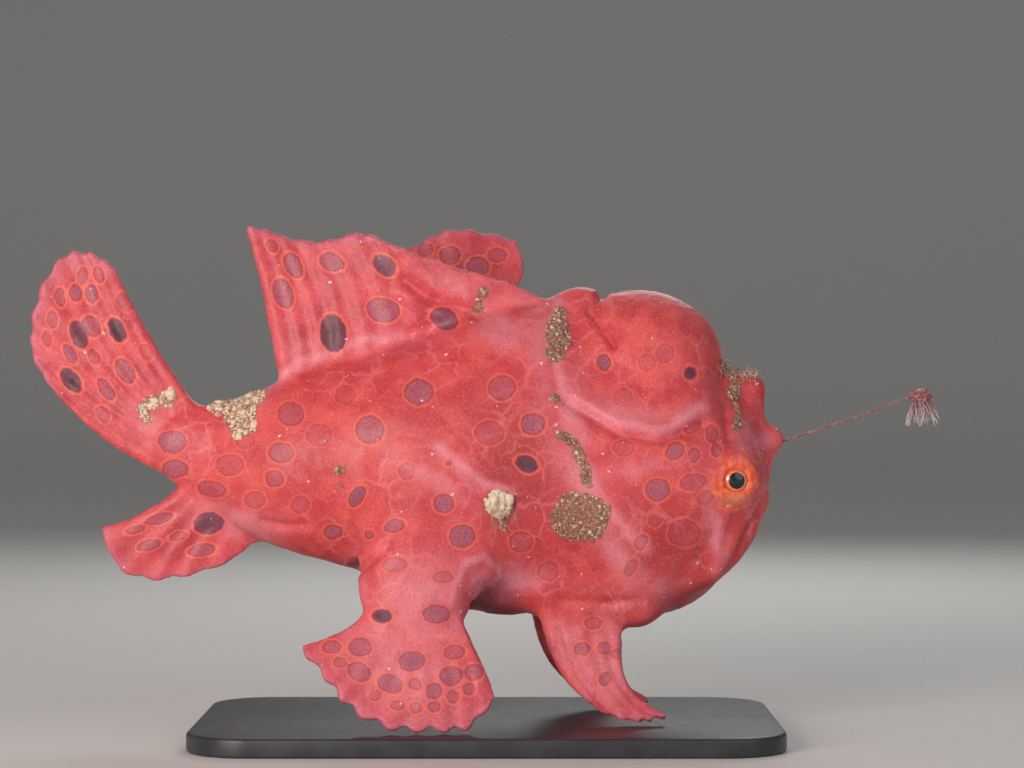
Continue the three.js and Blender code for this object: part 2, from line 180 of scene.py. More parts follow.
# %% The body's shapes, each with the softness of its join
BODY_SHAPES = [
    (egg([8, 0, 40], [29, 16.5, 23.4], 0.1), 8),  # belly and shoulders
    (egg([-14, 0, 41], [23, 11, 15], 0.22), 7),  # rear trunk
    (limb([-22, 0, 42.5], [-41, 0, 43.2], 9.6, 6.4, 0.5), 6),  # tail stalk
    (egg([30.7, 0, 38.5], [20.4, 16.8, 20]), 6),  # head
    (egg([31, 0, 27], [12.2, 13, 10.2]), 4),  # throat
    (egg([12, 0, 56], [13, 9.5, 9], 0.2), 6),  # nape
    (egg([21, 0, 60.2], [7.4, 5.4, 8.4]), 3),  # fold behind the hump
    (egg([30.2, 0, 55.8], [13.3, 11.7, 12.5]), 1.6),  # hump of the third dorsal spine
    (limb([46.2, 0, 45.5], [47.6, 0, 52.2], 4.3, 2.8, 1.1), 2),  # second dorsal spine
    (limb([43.8, 0, 46], [44.4, 0, 51.8], 3.2, 2.7, 1.2), 2),  # the web behind it
    (limb([47, 0, 42], [51.5, 0, 44.4], 4.2, 2.4, 1.1), 2),  # snout that carries the lure
]
for side in (-1, 1):
    BODY_SHAPES += [
        (egg([43.4, side * 8.6, 38.4], [6, 4.4, 5.8]), 3),  # mound round the eye
        (limb([44.5, side * 6, 31], [40, side * 8.6, 24.2], 4, 3.2), 2.5),  # cheek fold
        (limb([17, side * 6, 20], [29, side * 7.5, 19], 4.5, 4.5), 4),  # hip of the pelvic fin
    ]
BODY_SHAPES += [
    (limb([-1, -10, 33], [-4.5, -14.2, 24], 9.5, 8, 0.62), 5),  # right arm, propping the body
    (limb([-4.5, -14.2, 24], [-6, -17.2, 16.5], 7.6, 6.6, 0.42), 4),
    (limb([0, 10, 38], [1, 17.5, 50], 9, 7.4, 0.62), 5),  # left arm, raised behind the back
    (limb([1, 17.5, 50], [1.5, 20.5, 60], 7, 6.4, 0.42), 4),
]


def flesh(points):
    total = None
    for shape, softness in BODY_SHAPES:
        distance = shape(points)
        total = distance if total is None else soft_minimum(total, distance, softness)
    return total


print("shapes in the body:", len(BODY_SHAPES))

# %% [markdown]
# The eyes are balls of their own, so the flesh needs room for them. A thin lid of flesh is laid round
# each ball, then the ball's socket is cut out, and a small round opening in front of it. The lid gets
# thinner towards the opening, so that no rim shows where skin ends and eye begins.

# %% Sockets and lids
EYE_MM = {"radius": 3.4, "socket": 2.9, "lid": 0.65, "tuck": 0.2, "opening": 1.7}
EYE_CENTRE_MM = np.array([44.2, 10.5, 38.3])  # of the left eye; the right one has -y
LID_SOFTNESS_MM = 2.0


def eye_distance(points):
    """Distance from the nearer eye's centre."""
    mirrored = np.where([True, False, True], points, np.abs(points))
    return np.linalg.norm(mirrored - EYE_CENTRE_MM, axis=1)


LOOK = np.array([0.17, -0.98, -0.03])  # the way the right eye looks: outwards and a little forwards
LOOK /= np.linalg.norm(LOOK)
FAR_MM = 99.0


def eye_axis(points):
    """How far each point lies from the line that the nearer eye looks along; behind the eye it is far off."""
    offset = np.where([True, False, True], points, -np.abs(points)) - EYE_CENTRE_MM * [1, -1, 1]
    depth = offset @ LOOK
    off = np.linalg.norm(offset - depth[:, None] * LOOK, axis=1)
    return np.where(depth > 0, off, FAR_MM)


def flesh_with_sockets(points):
    """The flesh with lids that taper on to the eyes, hollow for the eyeballs and open in front of them."""
    away = eye_distance(points)
    thickness = EYE_MM["lid"] * smoothstep(EYE_MM["opening"], EYE_MM["radius"], eye_axis(points))
    lid = EYE_MM["radius"] - EYE_MM["tuck"] + thickness
    lidded = soft_minimum(flesh(points), away - lid, LID_SOFTNESS_MM)
    hollow = np.maximum(lidded, EYE_MM["socket"] - away)
    return np.maximum(hollow, EYE_MM["opening"] - eye_axis(points))


print("opening of an eye:", 2 * EYE_MM["opening"], "mm")

# %% [markdown]
# ## From a field to a mesh
#
# The field is sampled on a grid, and wherever it changes sign a surface has to pass. A surface net puts
# one vertex in each cell that the surface crosses, at the mean of the crossings on the cell's edges, and
# one face across each crossed edge of the grid. It makes even quads, which are better to sculpt on than
# the slivers of marching cubes.

# %% A surface net


def grid_points(low, high, cell):
    axes = [np.arange(lo, hi + cell, cell) for lo, hi in zip(low, high)]
    grid = np.stack(np.meshgrid(*axes, indexing="ij"), axis=-1)
    return grid.reshape(-1, 3), grid.shape[:3]


def surface_net(field, low, high, cell):
    points, shape = grid_points(low, high, cell)
    value = np.concatenate([field(part) for part in np.array_split(points, 40)]).reshape(shape)
    inner = tuple(n - 1 for n in shape)

    def corner(offset):
        return value[tuple(slice(o, o + n) for o, n in zip(offset, inner))]

    corners = [(a, b, c) for a in (0, 1) for b in (0, 1) for c in (0, 1)]
    inside = sum((corner(o) < 0).astype(int) for o in corners)
    active = (inside > 0) & (inside < 8)
    where = np.argwhere(active)
    number = np.full(inner, -1)
    number[active] = np.arange(len(where))
    total, crossings = np.zeros((len(where), 3)), np.zeros(len(where))
    for start in corners:
        for axis in range(3):
            if start[axis]:
                continue
            end = tuple(o + (i == axis) for i, o in enumerate(start))
            va, vb = corner(start)[active], corner(end)[active]
            crossed = (va < 0) != (vb < 0)
            t = np.where(crossed, va / np.where(crossed, va - vb, 1), 0)
            place = np.array(start, float) + t[:, None] * np.eye(3)[axis]
            total += np.where(crossed[:, None], place, 0)
            crossings += crossed
    vertices = np.array(low) + cell * (where + total / crossings[:, None])
    faces = []
    for axis in range(3):
        u, v = (axis + 1) % 3, (axis + 2) % 3
        first = [slice(1, -1)] * 3
        second = [slice(1, -1)] * 3
        second[axis] = slice(2, None)
        a, b = value[tuple(first)] < 0, value[tuple(second)] < 0
        for flipped in (False, True):
            edge = np.argwhere((a != b) & (a != flipped)) + 1
            ring = []
            for du, dv in ((0, 0), (1, 0), (1, 1), (0, 1)):
                cellular = edge.copy()
                cellular[:, u] -= du
                cellular[:, v] -= dv
                ring.append(number[tuple(cellular.T)])
            faces.append(np.stack(ring[::-1] if flipped else ring, axis=1))
    return vertices, np.concatenate(faces)


test_ball = surface_net(egg([0, 0, 0], [5, 5, 5]), [-7, -7, -7], [7, 7, 7], 1.0)
print("a ball of 5 mm on cells of 1 mm gets", len(test_ball[1]), "faces")

# %% The flesh as a mesh


def add_object(name, vertices, faces):
    """A smooth mesh object from vertices in the fish's millimetres."""
    mesh = bpy.data.meshes.new(name)
    mesh.from_pydata(to_scene(vertices).tolist(), [], [list(map(int, face)) for face in faces])
    mesh.polygons.foreach_set("use_smooth", [True] * len(mesh.polygons))
    mesh.update()
    piece = bpy.data.objects.new(name, mesh)
    bpy.context.collection.objects.link(piece)
    return piece


FLESH_CELL_MM = 0.6
flesh_vertices, flesh_faces = surface_net(flesh_with_sockets, [-52, -24, 4], [58, 27, 74], FLESH_CELL_MM)
flesh_piece = add_object("flesh_form", flesh_vertices, flesh_faces)
print("flesh:", len(flesh_vertices), "vertices")

# %% [markdown]
# ## Fins
#
# A frogfish's fin is a thick web of skin over bony rays. Each one here is a blade between three curves:
# the root, the middle and the margin. The rays run from the root to the margin, stand out as ridges, and
# end in blunt tips with the web scalloped between them. The curves are centripetal splines, which pass
# through their few points without overshooting.

# %% Curves


def spline(points, where):
    """Centripetal spline through points, at parameters from 0 to 1."""
    p = np.array(points, float)
    p = np.vstack([2 * p[0] - p[1], p, 2 * p[-1] - p[-2]])
    spans = len(points) - 1
    at = np.clip(np.asarray(where) * spans, 0, spans - 1e-9)
    i = at.astype(int)
    w = (at - i)[:, None]
    a, b, c, d = (p[i + k] for k in range(4))
    ta, tb, tc = (np.sqrt(np.linalg.norm(n - m, axis=1))[:, None] for m, n in ((a, b), (b, c), (c, d)))
    start = ((b - a) / ta - (c - a) / (ta + tb) + (c - b) / tb) * tb
    end = ((c - b) / tb - (d - b) / (tb + tc) + (d - c) / tc) * tb
    return (
        b + start * w + (-3 * b + 3 * c - 2 * start - end) * w**2 + (2 * b - 2 * c + start + end) * w**3
    )


corner = spline([[0, 0, 0], [1, 0, 0], [1, 1, 0]], [0.25])[0]
print("the curve leaves the straight line by", round(float(-corner[1]), 3))

# %% [markdown]
# The places of the fins are read from the photograph, with the far ones made like the near ones.
# Thickness goes from several millimetres in the fleshy root to about 1 mm at the margin. The tail fin,
# back fin and anal fin lie on the midline. The arm fins turn outwards, and the pelvic fins stand like
# feet.

# %% Where the fins are


def on_midline(points):
    return [[x, 0, z] for x, z in points]


FINS = {
    "caudal_fin": dict(
        root=on_midline([[-38.5, 48.5], [-39.5, 43], [-40.5, 38.5]]),
        middle=on_midline([[-45.4, 56.8], [-53, 53], [-51.5, 41.6]]),
        margin=on_midline(
            [[-53.5, 71.8], [-57.5, 74.4], [-61.5, 74.2], [-65.4, 69], [-67.2, 62], [-66.6, 57], [-63.4, 52]]
        ),
        rays=9, root_mm=4.6, tip_mm=0.8, scallop=0.01, wave_mm=0.25,
    ),
    "dorsal_fin": dict(
        root=on_midline([[15.5, 63], [4, 60.5], [-8, 56.5], [-19, 52.5], [-27, 50]]),
        middle=[[15.6, -0.8, 65.5], [5, -2.6, 67], [-8, -2, 66], [-20, -0.6, 64.5], [-29.2, 0, 63.6]],
        margin=[
            [15.8, -1, 66.6], [9, -3.4, 69.4], [1.6, -3.8, 71.6], [-8, -2.6, 75], [-14.2, -1, 77.4],
            [-19.6, 0, 76.2], [-25.4, 0.6, 76.6], [-29.8, 0.6, 78], [-32.9, 0.6, 78.6],
        ],
        rays=12, root_mm=5, tip_mm=0.8, scallop=0.006, wave_mm=0.3,
    ),
    "anal_fin": dict(
        root=on_midline([[-40, 39.2], [-34, 37], [-28, 35], [-22, 34]]),
        middle=on_midline([[-48.6, 33.2], [-42, 29.5], [-34, 29.5], [-24.5, 30.5]]),
        margin=on_midline(
            [[-56.2, 30.3], [-53, 23.6], [-48, 21.8], [-42, 22.4], [-36, 24.4], [-30.5, 27.4], [-25.5, 28]]
        ),
        rays=7, root_mm=3.6, tip_mm=0.8, scallop=0.02, wave_mm=0.12,
    ),
    "pectoral_fin_right": dict(
        root=[[-11, -15.4, 20], [-6, -16.2, 19.5], [1, -15.8, 19]],
        middle=[[-17.2, -18.5, 15], [-6, -20, 10.5], [5.2, -18.8, 10.8]],
        margin=[
            [-23, -20, 13.4], [-18.6, -21.5, 8], [-15, -22.5, 3.6], [-8.6, -23.5, 0.6],
            [-2.4, -24, 0.3], [3, -23.4, 0.5], [7.6, -21.6, 5.2],
        ],
        rays=9, root_mm=4.6, tip_mm=1.0, scallop=0.045, wave_mm=0.3,
    ),
    "pectoral_fin_left": dict(
        root=[[-3, 19, 56], [1.5, 19.4, 57], [6, 19, 56]],
        middle=[[-9, 21.2, 63.5], [1, 22.4, 69], [9.6, 21.2, 65.5]],
        margin=[
            [-16.5, 22, 67], [-12.5, 23.4, 73], [-6, 24.6, 76.8], [-1, 25, 79.2],
            [5, 25, 78.8], [10.6, 24, 77.2], [12, 22.6, 72],
        ],
        rays=9, root_mm=4.6, tip_mm=1.0, scallop=0.012, wave_mm=0.4,
    ),
}
for side, back, name in ((-1, 0, "pelvic_fin_right"), (1, 1.5, "pelvic_fin_left")):

    def foot(points):
        return [[x - back, side * y, z] for x, y, z in points]

    FINS[name] = dict(
        root=foot([[14, 6.5, 21], [21, 8, 21], [30, 7.5, 20.5]]),
        middle=foot([[17, 8.6, 8.7], [22.5, 10, 8.6], [27.4, 9.4, 8.3]]),
        margin=foot([[24, 10.6, 2.6], [28, 12, 0.6], [31.5, 12.4, 0.5], [34.8, 11.6, 1.4]]),
        rays=5, root_mm=5.4, tip_mm=1.3, scallop=0.09, wave_mm=0.0,
    )


print("rays in all:", sum(fin["rays"] for fin in FINS.values()))

# %% Blades


def blade_points(fin, u, v):
    """Points on the blade's middle layer for u along the root and v towards the margin."""
    a, b, c = (spline(fin[name], u) for name in ("root", "middle", "margin"))
    on_ray = np.abs(np.sin(math.pi * fin["rays"] * u)) ** 1.4
    reach = (v * (1 - (1 - on_ray) * fin["scallop"] * v * v))[:, None]
    p = a * (1 - reach) * (1 - 2 * reach) + 4 * b * reach * (1 - reach) + c * reach * (2 * reach - 1)
    p[:, 1] += fin["wave_mm"] * np.sin(2 * math.pi * (2.2 * u + 0.6 * v)) * v * v
    return p


THINNING = 2.2  # a blade thins fast near its root and hardly at all near its margin


def fin_blade(fin, rows, columns_per_ray=10):
    """A closed blade, with its middle layer's points, their phase in rays and their reach."""
    columns = fin["rays"] * columns_per_ray
    grid = np.meshgrid(np.linspace(0, 1, rows + 1), np.linspace(0, 1, columns + 1), indexing="ij")
    v, u = (values.ravel() for values in grid)
    middle = blade_points(fin, u, v)
    near = 0.004  # a small step for slopes
    along = blade_points(fin, np.minimum(u + near, 1), v) - blade_points(fin, np.maximum(u - near, 0), v)
    out = blade_points(fin, u, np.minimum(v + near, 1)) - blade_points(fin, u, np.maximum(v - near, 0))
    normal = np.cross(along, out)
    normal /= np.maximum(np.linalg.norm(normal, axis=1), 1e-9)[:, None]
    rootward = (1 - v) ** THINNING
    thickness = fin["root_mm"] * rootward + fin["tip_mm"] * (1 - rootward)
    ridge = np.sin(math.pi * fin["rays"] * u) ** 2
    half = thickness * (0.86 + 0.18 * ridge) / 2
    ends = np.minimum(np.minimum(u, 1 - u) * fin["rays"] * 2, 1)
    half *= 0.55 + 0.45 * np.sqrt(ends)
    vertices = np.vstack([middle + normal * half[:, None], middle - normal * half[:, None]])
    layer = (rows + 1) * (columns + 1)
    index = np.arange(layer).reshape(rows + 1, columns + 1)
    a, b, c, e = index[:-1, :-1], index[:-1, 1:], index[1:, 1:], index[1:, :-1]
    front = np.stack([a, b, c, e], axis=-1).reshape(-1, 4)
    rim = np.concatenate([index[0], index[1:, -1], index[-1, :-1][::-1], index[1:-1, 0][::-1]])
    after = np.roll(rim, -1)
    edge = np.stack([rim, rim + layer, after + layer, after], axis=1)
    return vertices, np.vstack([front, front[:, ::-1] + layer, edge]), middle, u * fin["rays"], v


BLADE_ROWS = 44
LIFT_MM = 0.02  # keeps the blades just above the base
fin_pieces, fin_samples = [], []
for name, fin in FINS.items():
    vertices, faces, middle, phase, v = fin_blade(fin, BLADE_ROWS)
    vertices[:, 2] = np.maximum(vertices[:, 2], LIFT_MM)
    fin_pieces.append(add_object(name + "_form", vertices, faces))
    fin_samples += list(zip(middle, phase, v))
print("fins:", len(FINS))

# %% [markdown]
# ## One skin
#
# The flesh and the fins are joined and wrapped in a voxel remesh. It throws away everything inside and
# leaves one closed skin with even faces. The steps that the voxels leave are then smoothed, and the
# smoothing is stronger round the roots of the fins, where skin runs from the body on to the fin without
# an edge.

# %% Join and remesh
VOXEL_MM = 0.36


def join(pieces):
    bpy.ops.object.select_all(action="DESELECT")
    for piece in pieces:
        piece.select_set(True)
    bpy.context.view_layer.objects.active = pieces[0]
    bpy.ops.object.join()
    return pieces[0]


def apply_modifier(piece, kind, **settings):
    modifier = piece.modifiers.new(kind.title(), kind)
    for key, value in settings.items():
        setattr(modifier, key, value)
    bpy.context.view_layer.objects.active = piece
    bpy.ops.object.modifier_apply(modifier=modifier.name)


skin = join([flesh_piece] + fin_pieces)
skin.name = "frogfish_skin"
apply_modifier(skin, "REMESH", mode="VOXEL", voxel_size=VOXEL_MM * MM, use_smooth_shade=True)
print("skin:", len(skin.data.vertices), "vertices after the remesh")

# %% Smooth the skin, most at the roots of the fins


def read_skin():
    """The skin's vertices in the fish's millimetres, and their normals."""
    places_flat, normals_flat = np.empty((2, len(skin.data.vertices) * 3))
    skin.data.vertices.foreach_get("co", places_flat)
    skin.data.vertex_normals.foreach_get("vector", normals_flat)
    return to_fish(places_flat.reshape(-1, 3)), normals_flat.reshape(-1, 3)


def write_skin(points):
    skin.data.vertices.foreach_set("co", to_scene(points).ravel())
    skin.data.update()


def smooth_where(weight, rounds, factor=0.5):
    """Moves each vertex towards the mean of its neighbours, by its weight."""
    edges = np.empty(len(skin.data.edges) * 2, dtype=int)
    skin.data.edges.foreach_get("vertices", edges)
    a, b = edges.reshape(-1, 2).T
    points, _ = read_skin()
    degree = np.bincount(np.concatenate([a, b]), minlength=len(points))
    for _ in range(rounds):
        total = [
            np.bincount(a, points[b, axis], len(points)) + np.bincount(b, points[a, axis], len(points))
            for axis in range(3)
        ]
        points += factor * weight[:, None] * (np.stack(total, axis=1) / degree[:, None] - points)
    write_skin(points)


points, _ = read_skin()
ROOT_OFF_MM, ROOT_BAND_MM = 0.9, 1.3  # fin roots lie this far off the flesh, in a band this wide
EYE_CLEAR_MM = 6.0  # no extra smoothing this near to an eye
VOXEL_STEP_ROUNDS, ROOT_ROUNDS = 3, 26
root_band = np.exp(-(((flesh(points) - ROOT_OFF_MM) / ROOT_BAND_MM) ** 2))
root_band *= eye_distance(points) > EYE_CLEAR_MM
smooth_where(np.full(len(points), 0.8), VOXEL_STEP_ROUNDS)
smooth_where(root_band, ROOT_ROUNDS)
print("vertices smoothed at the roots:", int((root_band > 0.5).sum()))

# %% [markdown]
# ## Folds, creases and pimples
#
# The skin now has the big shapes. What makes it skin is the middle scale: the mouth, a steep slit that
# runs from the snout down to the corner of the jaw, folds that follow the limbs, soft lumps, and grains
# that stand out most on top of the hump. All of it is moved along the normals with numbers, so it is real
# shape and not shading. The noise is a lattice of seeded random values, smoothly mixed.

# %% Noise and the skin's own frame


def lattice_noise(points, scale_mm, seed):
    """Smooth noise from -1 to 1 with lumps about scale_mm wide."""
    size = 32
    lattice = np.random.default_rng(seed).uniform(-1, 1, (size, size, size))
    p = points / scale_mm + 1000.0
    i = np.floor(p).astype(int)
    f = p - i
    f = f * f * (3 - 2 * f)
    total = np.zeros(len(points))
    for dx in (0, 1):
        for dy in (0, 1):
            for dz in (0, 1):
                weight = np.abs(1 - dx - f[:, 0]) * np.abs(1 - dy - f[:, 1]) * np.abs(1 - dz - f[:, 2])
                total += weight * lattice[(i[:, 0] + dx) % size, (i[:, 1] + dy) % size, (i[:, 2] + dz) % size]
    return total


def near_line(places, line, width):
    """1 on a line in the side view, falling to 0 at a few widths from it."""
    line = np.array(line, float)
    best = np.full(len(places), 1e9)
    for start, end in zip(line[:-1], line[1:]):
        span = end - start
        t = np.clip((places - start) @ span / (span @ span), 0, 1)
        best = np.minimum(best, np.linalg.norm(places - start - t[:, None] * span, axis=1))
    return np.exp(-((best / width) ** 2))


fin_tree = kdtree.KDTree(len(fin_samples))
for number, (place, _, _) in enumerate(fin_samples):
    fin_tree.insert(place, number)
fin_tree.balance()

points, normals = read_skin()
FIN_OFF_MM = (0.6, 2.6)  # from where the skin counts as fin, by its distance from the flesh
fin_amount = smoothstep(*FIN_OFF_MM, flesh(points))
ray_phase, ray_reach = np.zeros(len(points)), np.zeros(len(points))
for number in np.flatnonzero(fin_amount > 0):
    _, sample, _ = fin_tree.find(points[number])
    _, ray_phase[number], ray_reach[number] = fin_samples[sample]
print("on fins:", int((fin_amount > 0).sum()), "vertices")

# %% Move the skin
MOUTH = {"x": 51.2, "z": 37.6, "lean": 0.53, "corner_z": 22.6, "corner_blur": 1.5}
MOUTH_TOP_MM = (37.2, 35.4)  # the slit fades in between these heights
JAW_FROM_MM = 38
SLIT_WIDE_MM = 0.42
UPPER_LIP_MM, LOWER_LIP_MM = (1.2, 0.9), (-1.3, 1.0)  # place beside the slit, and width
places = side_view(points)
from_mouth = (points[:, 0] - MOUTH["x"]) * math.cos(MOUTH["lean"])
from_mouth -= (points[:, 2] - MOUTH["z"]) * math.sin(MOUTH["lean"])
corner_z, blur = MOUTH["corner_z"], MOUTH["corner_blur"]
mouth_reach = smoothstep(corner_z - blur, corner_z + blur, points[:, 2])
mouth_reach *= smoothstep(*MOUTH_TOP_MM, points[:, 2]) * (points[:, 0] > JAW_FROM_MM)
slit = np.exp(-((from_mouth / SLIT_WIDE_MM) ** 2)) * mouth_reach
lips = np.zeros(len(points))
for beside, width in (UPPER_LIP_MM, LOWER_LIP_MM):
    lips += np.exp(-(((from_mouth - beside) / width) ** 2)) * mouth_reach

FOLDS = [  # lines in the photograph's pixels, with their depth and width in mm
    ([(356, 570), (372, 560), (388, 546)], 0.7, 0.9),
    ([(262, 521), (282, 526), (304, 526)], 0.4, 0.7),
    ([(405, 281), (430, 298), (475, 314)], 1.0, 0.9),
    ([(400, 292), (426, 309), (472, 325)], -0.4, 1.2),
    ([(603, 293), (590, 308), (597, 322), (612, 345)], 1.1, 0.7),
    ([(568, 402), (620, 434), (662, 440), (704, 424)], 0.9, 0.9),
    ([(575, 392), (622, 421), (662, 427), (704, 400)], -0.25, 1.3),
    ([(722, 385), (728, 410), (730, 436)], 0.5, 0.9),
    ([(724, 514), (718, 541), (714, 570)], -0.35, 1.0),
    ([(450, 600), (462, 566), (484, 556), (498, 578)], -0.4, 1.4),
    ([(478, 612), (470, 598), (482, 588)], 0.4, 0.9),
    ([(560, 600), (600, 604), (640, 600)], 0.5, 1.0),
]
HEAD_FROM_MM = 18.0  # folds ahead of this lie on both sides, the others follow the right arm
LUMPS_MM = [(9, 1, 0.45, 0.0), (3.4, 2, 0.16, 0.08), (1.3, 3, 0.05, 0.05)]  # size, seed, two heights
RAY_RIDGE_MM, LIP_MM, SLIT_MM = 0.06, 0.22, 0.7
HUMP_TOP_MM, HUMP_SPREAD_MM = np.array([30, 0, 62]), np.array([11, 12, 8])
GRAIN_SIZE_MM, GRAIN_MM, HUMP_GRAIN_MM = 0.8, 0.05, 0.1
move = LIP_MM * lips - SLIT_MM * slit
for size, seed, on_body, on_fins in LUMPS_MM:
    move += (on_body + (on_fins - on_body) * fin_amount) * lattice_noise(points, size, seed)
on_hump = np.exp(-(((points - HUMP_TOP_MM) / HUMP_SPREAD_MM) ** 2).sum(axis=1))
grains = np.maximum(lattice_noise(points, GRAIN_SIZE_MM, 4), 0)
move += (GRAIN_MM + HUMP_GRAIN_MM * on_hump) * grains
move += RAY_RIDGE_MM * np.sin(2 * math.pi * ray_phase - math.pi / 2) * fin_amount
for line, depth, width in FOLDS:
    line = [photo_place(px, py) for px, py in line]
    on_head = line[0][0] > HEAD_FROM_MM
    sides = 1.0 if on_head else smoothstep(2, -1, points[:, 1])
    move -= depth * near_line(places, line, width) * sides
move *= smoothstep(0.6, 2.4, eye_distance(points) - EYE_MM["radius"])
ground = smoothstep(0.3, 1.6, points[:, 2])
moved = points + normals * (move * ground)[:, None]
moved[:, 2] = np.maximum(moved[:, 2], 0.0)
write_skin(moved)
print("largest move", round(float(np.abs(move).max()), 2), "mm")

# %% [markdown]
# ## Marks on the skin
#
# The fish wears round spots, each with a thin orange ring, like the mouths of sponges. A spot is a disc
# with a sharp edge, so it isn't painted on the vertices as a colour: each vertex carries how far it is
# from the nearest spot's centre, measured in that spot's own radii. This number changes evenly over the
# surface, and the material can cut it as sharply as it likes. The spots that the photograph shows are
# read from it. The left side mirrors them, a little shifted, as no fish is the same on both sides.

# %% Spots: place in the photograph, radii in its pixels, tilt in degrees, and darkness from 0 to 1
TAIL_SPOTS = [
    (76, 293, 8, 6, 100, 0.55), (92, 294, 8, 6, 100, 0.6), (60, 297, 9, 5, 100, 0.35),
    (52, 319, 8, 5, 100, 0.3), (79, 335, 14, 8, 110, 0.85), (92, 326, 11, 8, 120, 0.5),
    (117, 330, 13, 8, 115, 1.0), (47, 339, 8, 4, 100, 0.3), (70, 354, 10, 5, 120, 0.6),
    (71, 380, 14, 8, 130, 0.9), (125, 371, 13, 8, 120, 0.5), (106, 389, 12, 6, 125, 0.5),
    (125, 302, 10, 7, 130, 0.15), (103, 414, 8, 6, 120, 0.2), (99, 275, 8, 5, 110, 0.3),
    (83, 276, 8, 5, 90, 0.35), (146, 352, 8, 6, 120, 0.15), (94, 357, 8, 5, 120, 0.25),
]
DORSAL_SPOTS = [
    (333, 333, 19, 13, 95, 0.9), (283, 293, 15, 9, 110, 0.6), (293, 266, 13, 8, 120, 0.6),
    (332, 262, 12, 9, 160, 0.6), (384, 265, 13, 9, 140, 0.85), (383, 310, 16, 12, 170, 0.6),
    (444, 319, 14, 10, 155, 0.8), (272, 246, 7, 5, 130, 0.3),
]
BODY_SPOTS = [
    (173, 442, 14, 11, 0, 0.6), (175, 469, 13, 9, 0, 0.6), (212, 489, 14, 8, 170, 0.4),
    (230, 465, 13, 10, 0, 0.25), (291, 414, 13, 12, 0, 0.45), (281, 453, 12, 10, 0, 0.45),
    (274, 479, 9, 8, 0, 0.4), (319, 435, 12, 11, 0, 0.15), (370, 430, 14, 14, 0, 0.55),
    (357, 496, 11, 7, 55, 0.75), (419, 392, 14, 13, 0, 0.6), (502, 388, 13, 12, 0, 0.4),
    (533, 424, 12, 11, 0, 0.6), (489, 433, 14, 12, 0, 0.25), (527, 464, 11, 8, 160, 0.95),
    (449, 463, 3, 3, 0, 0.6), (407, 471, 8, 8, 0, 0.2), (444, 503, 10, 9, 0, 0.65),
    (462, 536, 13, 11, 0, 0.65), (521, 542, 11, 10, 0, 0.3), (548, 571, 10, 9, 0, 0.2),
    (395, 526, 10, 6, 15, 0.6), (333, 532, 9, 7, 0, 0.6), (369, 535, 4, 4, 0, 0.6), (353, 563, 6, 6, 0, 0.6),
    (395, 565, 12, 7, 0, 0.3), (443, 577, 10, 6, 0, 0.35), (480, 600, 12, 9, 0, 0.1),
    (255, 500, 10, 8, 0, 0.3), (300, 505, 9, 8, 0, 0.2), (345, 395, 10, 9, 0, 0.1),
    (245, 440, 9, 8, 0, 0.15),
]
HEAD_SPOTS = [
    (604, 362, 8, 7, 90, 0.75), (690, 373, 7, 6, 90, 0.9), (665, 353, 9, 9, 0, 0.15),
    (647, 363, 8, 8, 0, 0.12), (623, 398, 9, 9, 0, 0.12), (624, 448, 10, 8, 0, 0.2),
    (658, 490, 12, 11, 0, 0.6), (675, 451, 10, 8, 30, 0.55), (694, 455, 7, 5, 90, 0.4),
    (712, 434, 9, 6, 90, 0.3), (716, 450, 6, 5, 90, 0.4), (693, 482, 13, 8, 10, 0.28),
    (693, 427, 9, 6, 30, 0.25), (641, 542, 8, 6, 60, 0.35), (631, 568, 9, 5, 60, 0.3),
    (684, 533, 16, 13, 0, 0.14), (706, 498, 9, 6, 30, 0.2), (655, 520, 7, 6, 0, 0.2),
    (600, 520, 8, 8, 0, 0.1),
]
HAND_SPOTS = [
    (382, 616, 10, 7, 0, 0.9), (436, 614, 13, 9, 0, 0.6), (360, 647, 11, 9, 0, 0.5),
    (412, 661, 13, 10, 10, 0.65), (359, 672, 12, 9, 150, 0.5), (390, 684, 13, 9, 160, 0.55),
    (454, 652, 10, 7, 0, 0.4), (451, 676, 11, 10, 0, 0.6), (434, 691, 8, 8, 0, 0.55),
    (474, 672, 9, 8, 0, 0.5), (332, 647, 9, 6, 0, 0.4), (469, 689, 6, 6, 0, 0.4), (453, 697, 6, 6, 0, 0.35),
    (434, 707, 6, 5, 0, 0.4), (416, 708, 6, 5, 0, 0.35), (398, 705, 7, 5, 0, 0.35),
    (415, 684, 6, 6, 0, 0.35), (375, 695, 6, 5, 0, 0.3), (340, 662, 6, 5, 0, 0.3),
]
FOOT_SPOTS = [
    (535, 623, 6, 5, 0, 0.8), (582, 649, 8, 6, 0, 0.4), (604, 648, 7, 6, 0, 0.4), (605, 679, 7, 6, 60, 0.5),
    (593, 623, 8, 6, 0, 0.3), (618, 654, 5, 8, 90, 0.3),
]
ANAL_SPOTS = [
    (209, 523, 15, 11, 10, 0.85), (202, 550, 13, 6, 10, 0.5), (159, 519, 14, 5, 15, 0.45),
    (149, 545, 11, 5, 15, 0.5), (135, 530, 9, 4, 15, 0.3), (178, 536, 9, 4, 15, 0.25),
]
FAR_HAND_SPOTS = [
    (450, 256, 10, 9, 0, 0.4), (478, 267, 11, 10, 0, 0.5), (497, 255, 9, 7, 0, 0.3),
    (425, 250, 8, 7, 0, 0.3),
]
RIGHT_SPOTS = TAIL_SPOTS + DORSAL_SPOTS + BODY_SPOTS + HEAD_SPOTS + HAND_SPOTS + FOOT_SPOTS + ANAL_SPOTS
LEFT_SPOTS = BODY_SPOTS + HEAD_SPOTS + FOOT_SPOTS
print("spots on the right:", len(RIGHT_SPOTS), "on the left:", len(LEFT_SPOTS))

# %% Distance to the nearest spot


